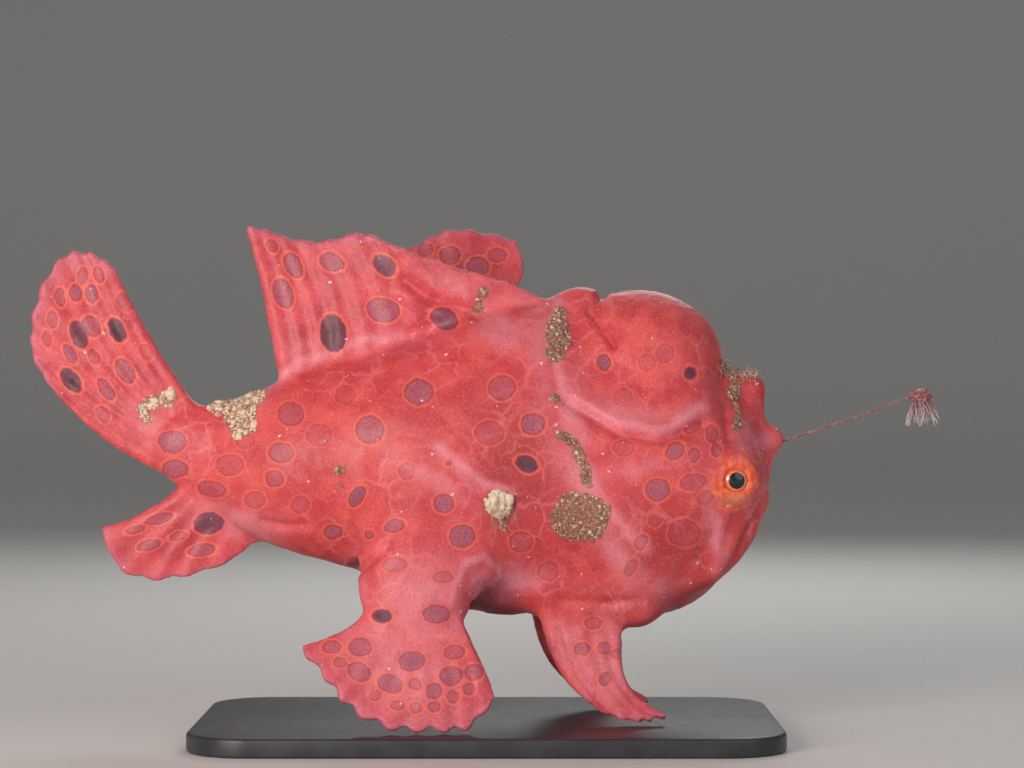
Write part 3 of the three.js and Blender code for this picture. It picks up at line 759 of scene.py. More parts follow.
def in_radii(places, px, py, long_px, short_px, tilt, shift=0.0):
    """How far each place lies from an ellipse's centre, counted in its radii, so that its edge is at 1."""
    offset = places - photo_place(px, py) - shift
    c, s = math.cos(math.radians(tilt)), math.sin(math.radians(tilt))
    along = (offset[:, 0] * c + offset[:, 1] * s) / (long_px * PIXEL_MM)
    across = (offset[:, 1] * c - offset[:, 0] * s) / (short_px * PIXEL_MM)
    return np.hypot(along, across)


def mark_spots(spots, chosen, shifts=0.0):
    """At the chosen vertices, keeps the nearest spot's distance in radii, its edge in mm and its darkness."""
    shifts = np.broadcast_to(shifts, (len(spots), 2))
    for (px, py, long_px, short_px, tilt, dark), shift in zip(spots, shifts):
        distance = in_radii(places[chosen], px, py, long_px, short_px, tilt, shift)
        closer = distance < spot[chosen]
        where = chosen[closer]
        spot[where] = distance[closer]
        edge[where] = (distance[closer] - 1) * math.sqrt(long_px * short_px) * PIXEL_MM
        tone[where] = dark


points, normals = read_skin()
UNMARKED, WOBBLE_MM, LEFT_SHIFT_MM = 9.0, 0.14, 2.2
wobble = np.stack([lattice_noise(points, 1.6, seed) for seed in (11, 12)], axis=1) * WOBBLE_MM
places = side_view(points) + wobble
spot, edge, tone = np.full(len(points), UNMARKED), np.full(len(points), UNMARKED), np.zeros(len(points))
thin = (np.abs(points[:, 1]) < 5) & (fin_amount > 0.3)  # fins on the midline, where marks show on both sides
far_hand = (points[:, 1] > 15) & (fin_amount > 0.2) & (points[:, 2] > 60)
right = np.flatnonzero(((normals[:, 1] < 0.1) & ~far_hand & (points[:, 1] < 6)) | thin)
left = np.flatnonzero((normals[:, 1] > 0.1) & ~thin & ~far_hand & (points[:, 1] > -2))
mark_spots(RIGHT_SPOTS, right)
mark_spots(FAR_HAND_SPOTS, np.flatnonzero(far_hand))
left_shifts = np.random.default_rng(21).uniform(-LEFT_SHIFT_MM, LEFT_SHIFT_MM, (len(LEFT_SPOTS), 2))
mark_spots(LEFT_SPOTS, left, left_shifts)
print("vertices inside spots:", int((spot < 1).sum()))

# %% [markdown]
# The ground colour isn't even either. Pale pink bands run over the neck, under the hump and round the
# roots of the limbs, and the skin is a deeper red between them. Part of it is painted light and shade:
# the pale blots on the arm and hand and the pale lines on the rims of folds are painted highlight, and
# the deep blots on the lower head, under the front of the hump and along the belly's lower edge are
# painted shade. Each is a soft blot, given by its place and size, and the material adds finer noise.
# The same kind of number marks the growth on the skin and the skin round the eye.

# %% Pale and deep blots, partly painted highlight and shade: place and radii in the photograph's pixels, tilt, strength
# pale pink bands of the skin; the blots on the arm and the hand are painted highlight
PALE_AND_HIGHLIGHT_BLOTS = [
    (515, 300, 50, 16, 165, 0.35), (500, 328, 30, 16, 150, 0.8), (455, 285, 30, 10, 155, 0.5),
    (575, 415, 14, 44, 0, 0.8), (620, 412, 60, 12, 170, 0.6), (588, 500, 15, 62, 25, 1.0),
    (618, 555, 16, 44, 35, 0.8), (640, 470, 40, 10, 10, 0.4), (715, 530, 8, 40, 10, 0.75),
    (545, 395, 14, 40, 0, 0.4), (482, 596, 13, 26, 10, 1.0), (508, 582, 40, 15, 10, 1.0),
    (430, 480, 60, 9, 150, 0.5), (465, 475, 40, 8, 140, 0.5), (262, 385, 10, 30, 160, 0.8),
    (250, 400, 20, 10, 20, 0.5), (160, 440, 12, 40, 45, 0.4), (700, 400, 20, 8, 60, 0.4),
    (540, 350, 14, 30, 0, 0.7), (235, 520, 44, 14, 165, 0.9), (570, 650, 30, 14, 135, 0.7),
    (355, 600, 12, 30, 0, 0.5), (425, 605, 44, 46, 0, 0.8), (400, 670, 74, 40, 150, 0.75),
    (610, 665, 40, 34, 60, 0.6), (660, 590, 30, 10, 10, 0.5), (745, 440, 10, 24, 10, 0.6),
    (310, 345, 40, 9, 15, 0.35), (400, 345, 60, 8, 15, 0.25), (760, 440, 12, 10, 0, 0.7),
]
# deeper red skin, and painted shade on the lower head, under the front of the hump and along the belly's
# lower edge
DEEP_RED_AND_SHADE_BLOTS = [
    (520, 470, 50, 70, 0, 0.9), (490, 410, 40, 40, 0, 0.6), (540, 440, 26, 40, 0, 0.7),
    (660, 545, 46, 40, 30, 0.9), (640, 510, 26, 26, 0, 0.6), (700, 560, 20, 40, 20, 0.6),
    (640, 600, 60, 14, 10, 0.7), (420, 420, 60, 40, 0, 0.3), (420, 500, 60, 30, 0, 0.3),
    (300, 470, 60, 40, 0, 0.3), (690, 425, 30, 12, 30, 0.5), (745, 530, 12, 50, 15, 0.5),
    (370, 255, 60, 12, 10, 0.4), (90, 300, 40, 50, 0, 0.3), (170, 540, 50, 16, 10, 0.4),
    (590, 590, 50, 10, 0, 0.5), (735, 390, 10, 26, 0, 0.6), (560, 470, 14, 30, 0, 0.5),
]
CRUST_BLOTS = [
    (579, 516, 33, 27, 5, 1.0), (566, 441, 14, 7, 140, 0.9), (577, 455, 14, 6, 110, 0.9),
    (586, 473, 14, 6, 95, 0.9), (557, 336, 27, 14, 85, 1.0), (560, 318, 13, 10, 60, 0.9),
    (555, 396, 6, 5, 0, 0.7), (497, 504, 12, 11, 0, 1.0), (500, 521, 10, 4, 100, 0.8),
    (481, 297, 11, 5, 80, 0.8), (477, 313, 6, 5, 0, 0.7), (235, 400, 30, 14, 8, 1.0),
    (242, 416, 24, 16, 110, 1.0), (158, 402, 22, 8, 20, 1.0), (147, 416, 10, 5, 100, 0.8),
    (735, 366, 13, 8, 0, 1.0), (734, 392, 20, 5, 95, 0.8), (736, 420, 16, 4, 85, 0.7),
    (341, 470, 7, 8, 90, 0.6), (341, 486, 4, 5, 0, 0.5),
]


def blots(places, rows, chosen, power=2.0):
    """The strongest of some soft ellipses at each place; a higher power makes their edges sharper."""
    best = np.zeros(len(places))
    for *ellipse, strength in rows:
        value = strength * np.exp(-(in_radii(places[chosen], *ellipse) ** power))
        best[chosen] = np.maximum(best[chosen], value)
    return best


# painted highlight along the rims of folds, with pale veins
HIGHLIGHT_AND_VEIN_LINES = [  # the light rims of folds and veins, in the photograph's pixels, and their widths in mm
    ([(450, 608), (455, 582), (467, 563), (484, 556), (498, 566), (503, 585), (500, 602)], 0.7),
    ([(440, 448), (462, 466), (486, 484), (508, 492)], 0.9),
    ([(588, 470), (600, 500), (626, 530), (644, 545)], 1.2),
    ([(572, 400), (620, 424), (662, 430), (700, 408)], 1.3),
    ([(560, 300), (548, 330), (560, 372), (572, 420)], 1.0),
    ([(265, 388), (300, 362), (345, 346), (400, 335)], 1.0),
]
EYE_CORNER_BLOT = (734, 500, 15, 4, 5, 1.0)  # the olive streak under the eye
SHARP, LINE_STRENGTH = 5.0, 0.85
RAGGED_SIZE_MM, RAGGED_MM = 2.6, 0.9  # blots get uneven edges from a noise that shifts their places
ragged = np.stack([lattice_noise(points, RAGGED_SIZE_MM, seed) for seed in (13, 14)], axis=1) * RAGGED_MM
everywhere = np.arange(len(points))
# pale pink skin bands, and painted highlight on the arm, the hand and the rims of folds
pale = blots(places + ragged, PALE_AND_HIGHLIGHT_BLOTS, everywhere)
for line, width in HIGHLIGHT_AND_VEIN_LINES:
    line_places = [photo_place(px, py) for px, py in line]
    pale = np.maximum(pale, LINE_STRENGTH * near_line(places + 0.4 * ragged, line_places, width))
# deeper red skin, with painted shade on the lower head, under the front of the hump and along the belly's
# lower edge
deep_red_and_shade = blots(places + ragged, DEEP_RED_AND_SHADE_BLOTS, everywhere)
camera_side = np.flatnonzero((normals[:, 1] < 0.25) & ~far_hand & (points[:, 1] < 8))
crust = blots(places + 0.75 * ragged, CRUST_BLOTS, camera_side, SHARP)
olive = blots(places, [EYE_CORNER_BLOT], everywhere)
print("pale vertices:", int((pale > 0.5).sum()), "crusted:", int((crust > 0.4).sum()))

# %% Store the numbers on the skin


def store(piece, name, values):
    attribute = piece.data.attributes.new(name, "FLOAT", "POINT")
    attribute.data.foreach_set("value", values.astype(np.float32))


SKIN_FIELDS = {
    "spot": spot, "edge": edge, "tone": tone, "pale": pale, "deep_red_and_shade": deep_red_and_shade, "crust": crust, "olive": olive,
    "fin": fin_amount, "reach": ray_reach, "eye_gap": eye_axis(points), "hump": on_hump,
}
for name, values in SKIN_FIELDS.items():
    store(skin, name, values)
print("numbers stored on each vertex:", len(SKIN_FIELDS))

# %% [markdown]
# ## Colours and nodes
#
# Colours are picked as sRGB hex values, as a colour picker gives them, and turned to the linear numbers
# that shaders work with. One small function adds a node with its settings and links.
#
# A surface is then described as a painter would: a ground, and layers over it, each with how much of it
# shows. That amount is a product of steps, and a step is a number that the mesh stores or a noise makes,
# either times a factor or sent through a soft threshold. Tables of such layers are easy to read and to
# change.

# %% Helpers for materials


def colour(hex_value):
    """Linear red, green, blue and alpha from an sRGB hex value such as "#c8102e"."""
    channels = [int(hex_value[i:i + 2], 16) / 255 for i in (1, 3, 5)]
    return [c / 12.92 if c <= 0.04045 else ((c + 0.055) / 1.055) ** 2.4 for c in channels] + [1.0]


def node(tree, kind, inputs, out=0, **settings):
    """Adds a node with its settings, values, hex colours and links, and gives one of its outputs."""
    made = tree.nodes.new("ShaderNode" + kind)
    for key, value in settings.items():
        setattr(made, key, value)
    for key, value in inputs.items():
        if isinstance(value, bpy.types.NodeSocket):
            tree.links.new(value, made.inputs[key])
        else:
            made.inputs[key].default_value = colour(value) if isinstance(value, str) else value
    return made.outputs[out] if made.outputs else made


def new_material(name, stored, noises):
    """An empty material, with sockets for the place, the numbers stored on the mesh, and noises.

    A noise is its grain in millimetres, its detail and its roughness.
    """
    material = bpy.data.materials.new(name)
    material.use_nodes = True
    tree = material.node_tree
    tree.nodes.clear()
    place = node(tree, "TexCoord", {}, out="Object")
    numbers = {key: node(tree, "Attribute", {}, out="Fac", attribute_name=key) for key in stored}
    for key, (size_mm, detail, roughness) in noises.items():
        inputs = {"Vector": place, "Scale": 1 / (size_mm * MM), "Detail": detail, "Roughness": roughness}
        numbers[key] = node(tree, "TexNoise", inputs)
    return material, tree, place, numbers


def product(tree, numbers, *steps):
    """The product of steps: a number's name and a factor, or where it rises and from what to what."""
    total = None
    for name, *values in steps:
        if len(values) == 1:
            step = node(tree, "Math", {0: numbers[name], 1: values[0]}, operation="MULTIPLY")
        else:
            low, high, to_low, to_high = (*values, 0.0, 1.0)[:4]
            inputs = {0: numbers[name], 1: low, 2: high, 3: to_low, 4: to_high}
            step = node(tree, "MapRange", inputs, interpolation_type="SMOOTHSTEP")
        total = step if total is None else node(tree, "Math", {0: total, 1: step}, operation="MULTIPLY")
    return total


def paint(tree, numbers, ground, layers):
    """Lays colours over a ground. Each layer is a colour and the steps that say how much of it shows."""
    for over, *steps in layers:
        amount = product(tree, numbers, *steps)
        ground = node(tree, "Mix", {0: amount, 6: ground, 7: over}, out=2, data_type="RGBA")
    return ground


print("coral red in linear light:", [round(value, 3) for value in colour("#c83e45")])

# %% [markdown]
# ## Frogfish skin
#
# The real skin has no scales. It is soft, moist and slightly see-through: light sinks in and comes back
# red, so thin places glow and shadows are never black. Subsurface scattering does that, with a radius of
# about a millimetre in red and less in green and blue. A thin wet film over it gives small highlights,
# and with an IOR of 1.4, between water and dry skin, they stay soft.
#
# The ground is coral red, mottled at three scales: blots of centimetres, clouds of 4 mm and grains of a
# third of a millimetre. The grains are pigment cells. Real ones are about 0.1 mm, too fine to show, so
# they are drawn three times as coarse, and so is the stipple inside the spots. A net of pale lines 4 mm
# wide runs over the ground.

# %% Skin material: its numbers and textures
SKIN_NUMBERS = ("spot", "edge", "tone", "pale", "deep_red_and_shade", "crust", "fin", "reach", "eye_gap", "hump", "olive")
SKIN_NOISES = {
    "clouds": (4.0, 3.0, 0.5), "broad": (11.0, 2.0, 0.5), "grains": (0.33, 1.0, 0.5),
    "ragged": (0.8, 2.0, 0.5), "blotchy": (0.9, 2.0, 0.5), "speck": (0.9, 0.0, 0.5), "fine": (0.28, 3.0, 0.5),
    "round_eye": (1.7, 3.0, 0.5), "eye_mottle": (0.9, 3.0, 0.5),
}
SKIN_CELLS_MM = {"pimples": 0.42, "dots": 0.3}
NET_MM = 4.2
BEND_GRAIN_MM, BEND_MM = 2.5, 2.2  # a noise bends the straight sides of the net's cells
skin_material, tree, place, numbers = new_material("moist_frogfish_skin", SKIN_NUMBERS, SKIN_NOISES)
for name, size_mm in SKIN_CELLS_MM.items():
    numbers[name] = node(tree, "TexVoronoi", {"Vector": place, "Scale": 1 / (size_mm * MM)}, feature="F1")
bend = node(tree, "TexNoise", {"Vector": place, "Scale": 1 / (BEND_GRAIN_MM * MM), "Detail": 2.0}, out=1)
bend = node(tree, "VectorMath", {0: bend, 1: (0.5, 0.5, 0.5)}, operation="SUBTRACT")
bend = node(tree, "VectorMath", {0: bend, "Scale": BEND_MM * MM}, operation="SCALE")
bent = node(tree, "VectorMath", {0: place, 1: bend}, operation="ADD")
net_inputs = {"Vector": bent, "Scale": 1 / (NET_MM * MM)}
numbers["net"] = node(tree, "TexVoronoi", net_inputs, feature="DISTANCE_TO_EDGE")
ragged_edge = product(tree, numbers, ("ragged", 0.3, 0.7, -0.09, 0.09))
numbers["rim"] = node(tree, "Math", {0: numbers["edge"], 1: ragged_edge}, operation="ADD")
ragged_gap = product(tree, numbers, ("round_eye", 0.3, 0.7, -1.4, 1.4))
numbers["eye_ring"] = node(tree, "Math", {0: numbers["eye_gap"], 1: ragged_gap}, operation="ADD")
print("numbers for the skin's layers:", len(numbers))

# %% [markdown]
# The layers go from the large to the small. A spot is five of them: a red halo, an orange ring, a purple
# disc full of dots, a dark line at its edge, and in the darkest ones a nearly black, blotchy middle. The
# fins are a cooler red, with a mauve margin where the web is thin.

# %% Skin material: its layers
PALE_AND_HIGHLIGHT_STEPS = (("pale", 1.0), ("clouds", 0.25, 0.6, 0.7, 1.0))
RING_STEPS = (("tone", 0.0, 0.4, 0.25, 0.5), ("fin", 0.0, 1.0, 0.9, 1.15))
fin_red = paint(tree, numbers, "#b53a4a", [("#d2525e", ("clouds", 0.35, 0.65)), ("#e48a94", *PALE_AND_HIGHLIGHT_STEPS)])
spot_purple = paint(
    tree, numbers, "#a55f74", [("#5c2a40", ("tone", 0.62, 1.0)), ("#6a2035", ("dots", 0.52, 0.3, 0.0, 0.62))]
)
eye_orange = paint(tree, numbers, "#e4502f", [("#f27e58", ("eye_mottle", 0.38, 0.62))])
SKIN_LAYERS = [
    ("#de5a57", ("clouds", 0.35, 0.68)),
    ("#d44a50", ("broad", 0.4, 0.7, 0.0, 0.55)),
    # deeper red, partly painted shade on the lower head, under the front of the hump and along the belly's
    # lower edge
    ("#9e2a30", ("deep_red_and_shade", 0.95), ("clouds", 0.2, 0.6, 0.6, 1.0)),
    # pale pink bands, with painted highlight on the arm, the hand and the rims of folds
    ("#e08896", *PALE_AND_HIGHLIGHT_STEPS),
    ("#e8858c", ("net", 0.09, 0.0), ("broad", 0.45, 0.6, 0.08, 0.36)),
    (fin_red, ("fin", 0.6)),
    ("#c46c80", ("fin", 0.6), ("reach", 0.9, 1.0)),  # margin of a fin
    ("#9c2430", ("grains", 0.56, 0.7, 0.0, 0.32)),
    ("#f29a90", ("grains", 0.42, 0.3, 0.0, 0.2)),
    ("#ee7c62", ("pimples", 0.34, 0.12), ("hump", 0.05, 0.7, 0.0, 0.6)),
    ("#cf4440", ("rim", 1.0, 0.3), ("tone", 0.0, 0.5, 0.1, 0.3)),  # halo of a spot
    ("#ec765e", ("rim", 0.62, 0.34), ("rim", 0.06, 0.28), *RING_STEPS),
    (spot_purple, ("rim", 0.1, -0.18), ("tone", 0.0, 1.0, 0.12, 1.0)),
    ("#7e2436", ("rim", 0.1, 0.0), ("rim", -0.3, -0.08), ("tone", 0.0, 0.5, 0.2, 0.4)),
    ("#34101e", ("spot", 0.8, 0.3), ("tone", 0.7, 1.0, 0.0, 0.8), ("blotchy", 0.45, 0.62, 0.15, 1.0)),
    (eye_orange, ("eye_ring", 5.2, 2.4, 0.0, 0.95)),
    ("#c08a58", ("olive", 0.6)),
    ("#96664f", ("crust", 0.3, 0.7, 0.0, 0.9)),
    ("#ffe3dc", ("speck", 0.83, 0.88, 0.0, 0.6)),
]
skin_colour = paint(tree, numbers, "#c83e45", SKIN_LAYERS)
print("layers on the skin:", len(SKIN_LAYERS))

# %% Skin material: fine relief and the surface
pimple_height = product(tree, numbers, ("pimples", 0.45, 0.1), ("hump", 0.05, 0.6, 0.3, 1.8))
height = node(tree, "Math", {0: product(tree, numbers, ("fine", 0.8)), 1: pimple_height}, operation="ADD")
surface = node(tree, "BsdfPrincipled", {
    "Base Color": skin_colour,
    "Roughness": product(tree, numbers, ("clouds", 0.3, 0.7, 0.46, 0.62)),
    "Normal": node(tree, "Bump", {"Height": height, "Strength": 0.55, "Distance": 0.12 * MM}),
    "Subsurface Weight": 0.22,
    "Subsurface Radius": (1.0, 0.32, 0.22),
    "Subsurface Scale": 1.1 * MM,
    "IOR": 1.4,
    "Coat Weight": 0.14,
    "Coat Roughness": 0.28,
})
node(tree, "OutputMaterial", {"Surface": surface})

skin.data.materials.clear()
skin.data.materials.append(skin_material)
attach(skin, "root")
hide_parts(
    "head", "lower_jaw", "third_spine", "second_spine", "trunk",
    "pectoral_arm_right", "pectoral_arm_left", "tail_stalk", *FINS,
)
print("nodes in the skin's material:", len(tree.nodes))

# %% [markdown]
# ## Eyes
#
# The eye is a ball set in a socket. Only a disc of it shows: a black pupil with a thin bright rim, in an
# orange iris with streaks that run outwards, under a clear, wet cornea. The cornea bulges a little more
# than the ball, so the mesh does too, and the clear layer is the shader's coat. The pattern is drawn by
# the angle between a point on the ball and the way the eye looks.

# %% Eyeball mesh and numbers
PUPIL_MM = 1.24  # radius


def unit_ball(maker, **fineness):
    """Vertices and faces of a ball of radius 1."""
    helper = bmesh.new()
    maker(helper, radius=1.0, **fineness)
    vertices = np.array([v.co[:] for v in helper.verts])
    faces = [[v.index for v in face.verts] for face in helper.faces]
    helper.free()
    return vertices, faces


def eyeball(name, side):
    centre = EYE_CENTRE_MM * [1, side, 1]
    look = LOOK * np.array([1, -side, 1])
    vertices, faces = unit_ball(bmesh.ops.create_uvsphere, u_segments=96, v_segments=64)
    toward = np.array(Vector((0, 0, 1)).rotation_difference(Vector(look)).to_matrix())
    vertices = vertices @ toward.T
    facing = vertices @ look
    bulge = 0.22 * smoothstep(0.72, 0.98, facing)
    piece = add_object(name, centre + vertices * (EYE_MM["radius"] + bulge)[:, None], faces)
    off_axis = EYE_MM["radius"] * np.sqrt(np.maximum(1 - facing**2, 0)) + 5.0 * (facing < 0)
    across = np.cross(look, [0, 0, 1])
    across /= np.linalg.norm(across)
    up = np.cross(across, look)
    store(piece, "off_axis", off_axis)
    store(piece, "turn_x", vertices @ across)
    store(piece, "turn_z", vertices @ up)
    return piece


eyes = {name: eyeball(name + "_ball", side) for name, side in (("eye_right", -1), ("eye_left", 1))}
print("eyeball", 2 * EYE_MM["radius"], "mm wide")

# %% Eye material: pigment under a wet cornea
eye_material, tree, _, numbers = new_material("wet_cornea_over_iris", ("off_axis", "turn_x", "turn_z"), {})
disc = node(tree, "CombineXYZ", {"X": numbers["turn_x"], "Y": numbers["turn_z"]})
direction = node(tree, "VectorMath", {0: disc}, operation="NORMALIZE")
streak_inputs = {"Vector": direction, "Scale": 5.5, "Detail": 4.0, "Roughness": 0.7}
numbers["streak"] = node(tree, "TexNoise", streak_inputs)
numbers["mottle"] = node(tree, "TexNoise", {"Vector": disc, "Scale": 6.0, "Detail": 3.0})
eye_colour = paint(tree, numbers, "#dc5434", [
    ("#ee7048", ("streak", 0.38, 0.62)),
    ("#f06a44", ("mottle", 0.5, 0.75, 0.0, 0.5)),
    ("#ea5f3e", ("off_axis", 1.7, 2.4, 0.0, 0.7)),
    ("#ffb27a", ("off_axis", PUPIL_MM + 0.2, PUPIL_MM + 0.08), ("mottle", 0.35, 0.6, 0.25, 0.8)),
    ("#070707", ("off_axis", PUPIL_MM + 0.06, PUPIL_MM - 0.06)),
])
surface = node(tree, "BsdfPrincipled", {
    "Base Color": eye_colour,
    "Roughness": product(tree, numbers, ("mottle", 0.3, 0.7, 0.22, 0.36)),
    "Coat Weight": 1.0,
    "Coat Roughness": 0.04,
    "Coat IOR": 1.38,  # a cornea's, so that it mirrors the lamps as wet eyes do
})
node(tree, "OutputMaterial", {"Surface": surface})
for node_name, piece in eyes.items():
    piece.data.materials.append(eye_material)
    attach(piece, "root")
    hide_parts(node_name)
print("pupil", 2 * PUPIL_MM, "mm wide")

# %% [markdown]
# ## Lure
#
# The lure is the first spine of the back fin, turned into a fishing rod. It is as thin as a hair and ends
# in a bait: a pinkish knot of skin with pale threads that hang from it. Both are tubes that taper along a
# curve. One function makes such a tube, and many threads become one mesh.

# %% Tubes along curves


def tube(path, radii, sides=8):
    """Vertices and faces of a closed tube along a path with a radius at each point."""
    path, radii = np.array(path, float), np.array(radii, float)
    tangent = np.gradient(path, axis=0)
    tangent /= np.linalg.norm(tangent, axis=1)[:, None]
    reference = np.where(np.abs(tangent[:, [1]]) < 0.9, [[0, 1, 0]], [[1, 0, 0]])
    first = np.cross(tangent, reference)
    first /= np.linalg.norm(first, axis=1)[:, None]
    second = np.cross(tangent, first)
    angle = np.arange(sides) / sides * 2 * math.pi
    ring = first[:, None] * np.cos(angle)[None, :, None] + second[:, None] * np.sin(angle)[None, :, None]
    vertices = (path[:, None] + ring * radii[:, None, None]).reshape(-1, 3)
    vertices = np.vstack([vertices, path[:1], path[-1:]])
    faces = []
    for i in range(len(path) - 1):
        for j in range(sides):
            k = (j + 1) % sides
            a, b, c, d = (row * sides + col for row, col in ((i, j), (i, k), (i + 1, k), (i + 1, j)))
            faces.append([a, d, c, b])
    start, end = len(vertices) - 2, len(vertices) - 1
    last = (len(path) - 1) * sides
    for j in range(sides):
        k = (j + 1) % sides
        faces.append([start, j, k])
        faces.append([end, last + k, last + j])
    return vertices, faces


def merge(parts):
    """One list of vertices and one of faces from many."""
    vertices, faces, count = [], [], 0
    for part_vertices, part_faces in parts:
        vertices.append(part_vertices)
        faces += [[index + count for index in face] for face in part_faces]
        count += len(part_vertices)
    return np.vstack(vertices), faces


test_tube, _ = tube([[0, 0, 0], [0, 0, 1], [0, 0, 2]], [1, 1, 1])
print("vertices in a tube of three rings:", len(test_tube))

# %% The rod, with a slight unevenness along it
ROD_MM = [[50.6, 0, 43.3], [54, 0, 44.3], [58, 0, 45.6], [66, 0, 48.3], [73.4, 0, 51], [74.6, 0, 51.3]]
steps = np.linspace(0, 1, 60)
rod_radius = 0.2 - 0.09 * steps + 0.015 * np.sin(steps * 40)
rod = add_object("lure_rod_thread", *tube(spline(ROD_MM, steps), rod_radius, 12))
print("rod", round(2 * float(rod_radius[0]), 2), "mm thick at its root")

# %% The bait: a lumpy knot, short threads that stand up and long ones that hang
BAIT_HEART = np.array([75.2, 0.0, 51.2])
KNOT_RADII_MM = np.array([1.7, 1.3, 1.15])
BAIT_THREADS, RAISED_THREADS = 90, 14
HANGING_MM, RAISED_MM = (2.6, 5.4), (1.2, 2.1)
rng = np.random.default_rng(31)
bait_parts = []
for number in range(BAIT_THREADS):
    hang = number >= RAISED_THREADS
    aim = np.array([rng.uniform(-0.5, 0.75), rng.uniform(-0.5, 0.5), -1.0])
    if not hang:
        aim[2] = rng.uniform(-0.2, 0.9)
    aim /= np.linalg.norm(aim)
    length = rng.uniform(*(HANGING_MM if hang else RAISED_MM))
    start = BAIT_HEART + rng.uniform(-0.7, 0.7, 3) * [1.2, 0.9, 0.6]
    along = np.linspace(0, 1, 9)[:, None]
    curl = np.array([rng.uniform(-0.5, 0.5), rng.uniform(-0.5, 0.5), 0]) * np.sin(along * 3.1)
    path = start + aim * length * along + curl
    path[:, 2] = np.maximum(path[:, 2], 46.5)
    path[:, 0] = np.clip(path[:, 0], 73.0, 78.2)
    path[:, 1] = np.clip(path[:, 1], -1.6, 1.6)
    bait_parts.append(tube(path, 0.14 * (1 - 0.75 * along[:, 0]) + 0.02, 6))
ball, ball_faces = unit_ball(bmesh.ops.create_icosphere, subdivisions=4)
lumps = 1 + 0.22 * lattice_noise(ball * 3, 1.0, 32) + 0.1 * lattice_noise(ball * 3, 0.4, 33)
bait_parts.append((BAIT_HEART + ball * lumps[:, None] * KNOT_RADII_MM, ball_faces))
bait_vertices, bait_faces = merge(bait_parts)
bait = add_object("lure_bait_tuft", bait_vertices, bait_faces)
store(bait, "drop", (BAIT_HEART[2] - bait_vertices[:, 2]) / 5.0)
store(rod, "drop", np.zeros(len(rod.data.vertices)))
print("threads in the bait:", BAIT_THREADS)

# %% [markdown]
# The lure's skin is thin and has little pigment, so light passes into it: more of it scatters below the
# surface than in the body's skin. It gets paler towards the ends of the threads. Its flecks are half a
# millimetre, as the photograph shows on the bait.

# %% Lure material: thin skin, paler and clearer towards the thread ends
lure_noises = {"flecks": (0.45, 2.0, 0.5)}
lure_material, tree, _, numbers = new_material("translucent_lure_skin", ("drop",), lure_noises)
lure_colour = paint(tree, numbers, "#80464a", [
    ("#b07c7c", ("flecks", 0.4, 0.62)),
    ("#cfc4c4", ("drop", 0.0, 0.7, 0.0, 0.75)),
    ("#8c3a44", ("flecks", 0.66, 0.72)),
])
surface = node(tree, "BsdfPrincipled", {
    "Base Color": lure_colour,
    "Roughness": product(tree, numbers, ("flecks", 0.3, 0.7, 0.35, 0.55)),
    "Subsurface Weight": 0.4,
    "Subsurface Radius": (1.0, 0.6, 0.5),
    "Subsurface Scale": 0.6 * MM,
    "IOR": 1.4,
})
node(tree, "OutputMaterial", {"Surface": surface})
for piece, node_name in ((rod, "lure_rod"), (bait, "lure_bait")):
    piece.data.materials.append(lure_material)
    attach(piece, "root")
    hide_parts(node_name)
print("lure material on", rod.name, "and", bait.name)

# %% [markdown]
# ## Growth on the skin
#
# A frogfish sits so still that crusts, algae and grit settle on it. Each patch is hundreds of small
# lumps, every one a squashed, dented ball that sits on the skin, in tan, brown and cream. They are one
# joined mesh, scattered with a fixed seed over the vertices that the crust blots marked. Each lump gets
# its own small place on a texture map, at the spot where it sits on an unrolled skin: along the body one
# way and round it the other.

# %% One mesh and map for many lumps or threads
points, normals = read_skin()
UV_PATCH, MAP_MARGIN = 0.003, 0.04
GOLDEN_ANGLE = 2.4  # spreads a lump's vertices evenly round its patch
SKIN_FROM_MM, SKIN_LONG_MM, AXIS_HEIGHT_MM = -70, 130, 42


def unrolled(place):
    """Where a point lies on the skin unrolled round its long axis, from 0 to 1 each way."""
    along = (place[0] - SKIN_FROM_MM) / SKIN_LONG_MM
    round_body = math.atan2(place[1], place[2] - AXIS_HEIGHT_MM) / (2 * math.pi) + 0.5
    return MAP_MARGIN + (1 - 2 * MAP_MARGIN) * np.array([along, round_body])


def growth_piece(name, growth):
    """One joined mesh of lumps or threads, each a list of vertices, faces, root and shade.

    On its map all faces of a lump or thread share one small patch at its root's place.
    """
    piece = add_object(name, *merge([(vertices, faces) for vertices, faces, _, _ in growth]))
    counts = [len(vertices) for vertices, _, _, _ in growth]
    store(piece, "shade", np.repeat([shade for _, _, _, shade in growth], counts))
    owner = np.repeat(np.arange(len(growth)), counts)
    loops = np.empty(len(piece.data.loops), dtype=int)
    piece.data.loops.foreach_get("vertex_index", loops)
    patches = np.array([unrolled(root) for _, _, root, _ in growth])[owner[loops]]
    first = np.concatenate([[0], np.cumsum(counts)])[owner]
    turn = (np.arange(len(owner)) - first) * GOLDEN_ANGLE
    spread = UV_PATCH / 2 * np.stack([np.cos(turn), np.sin(turn)], axis=1)
    layer = piece.data.uv_layers.new(name="OFBake")
    layer.data.foreach_set("uv", (patches + spread[loops]).astype(np.float32).ravel())
    return piece


print("the middle of the back lies at", unrolled([0, 0, 60]).round(2), "on the map")

# %% [markdown]
# Threads are algae a few cells wide. They grow behind the second spine, hang from the white tuft on the
# flank and fringe the crusts. Real ones are about a fiftieth of a millimetre, too thin to show, so they
# are drawn at a tenth.

# %% Lumps and threads
lump_ball, lump_faces = unit_ball(bmesh.ops.create_icosphere, subdivisions=2)
LIMY_REAR_OF_MM, LIMY = -24.0, 0.55  # crusts on the tail are paler by this much


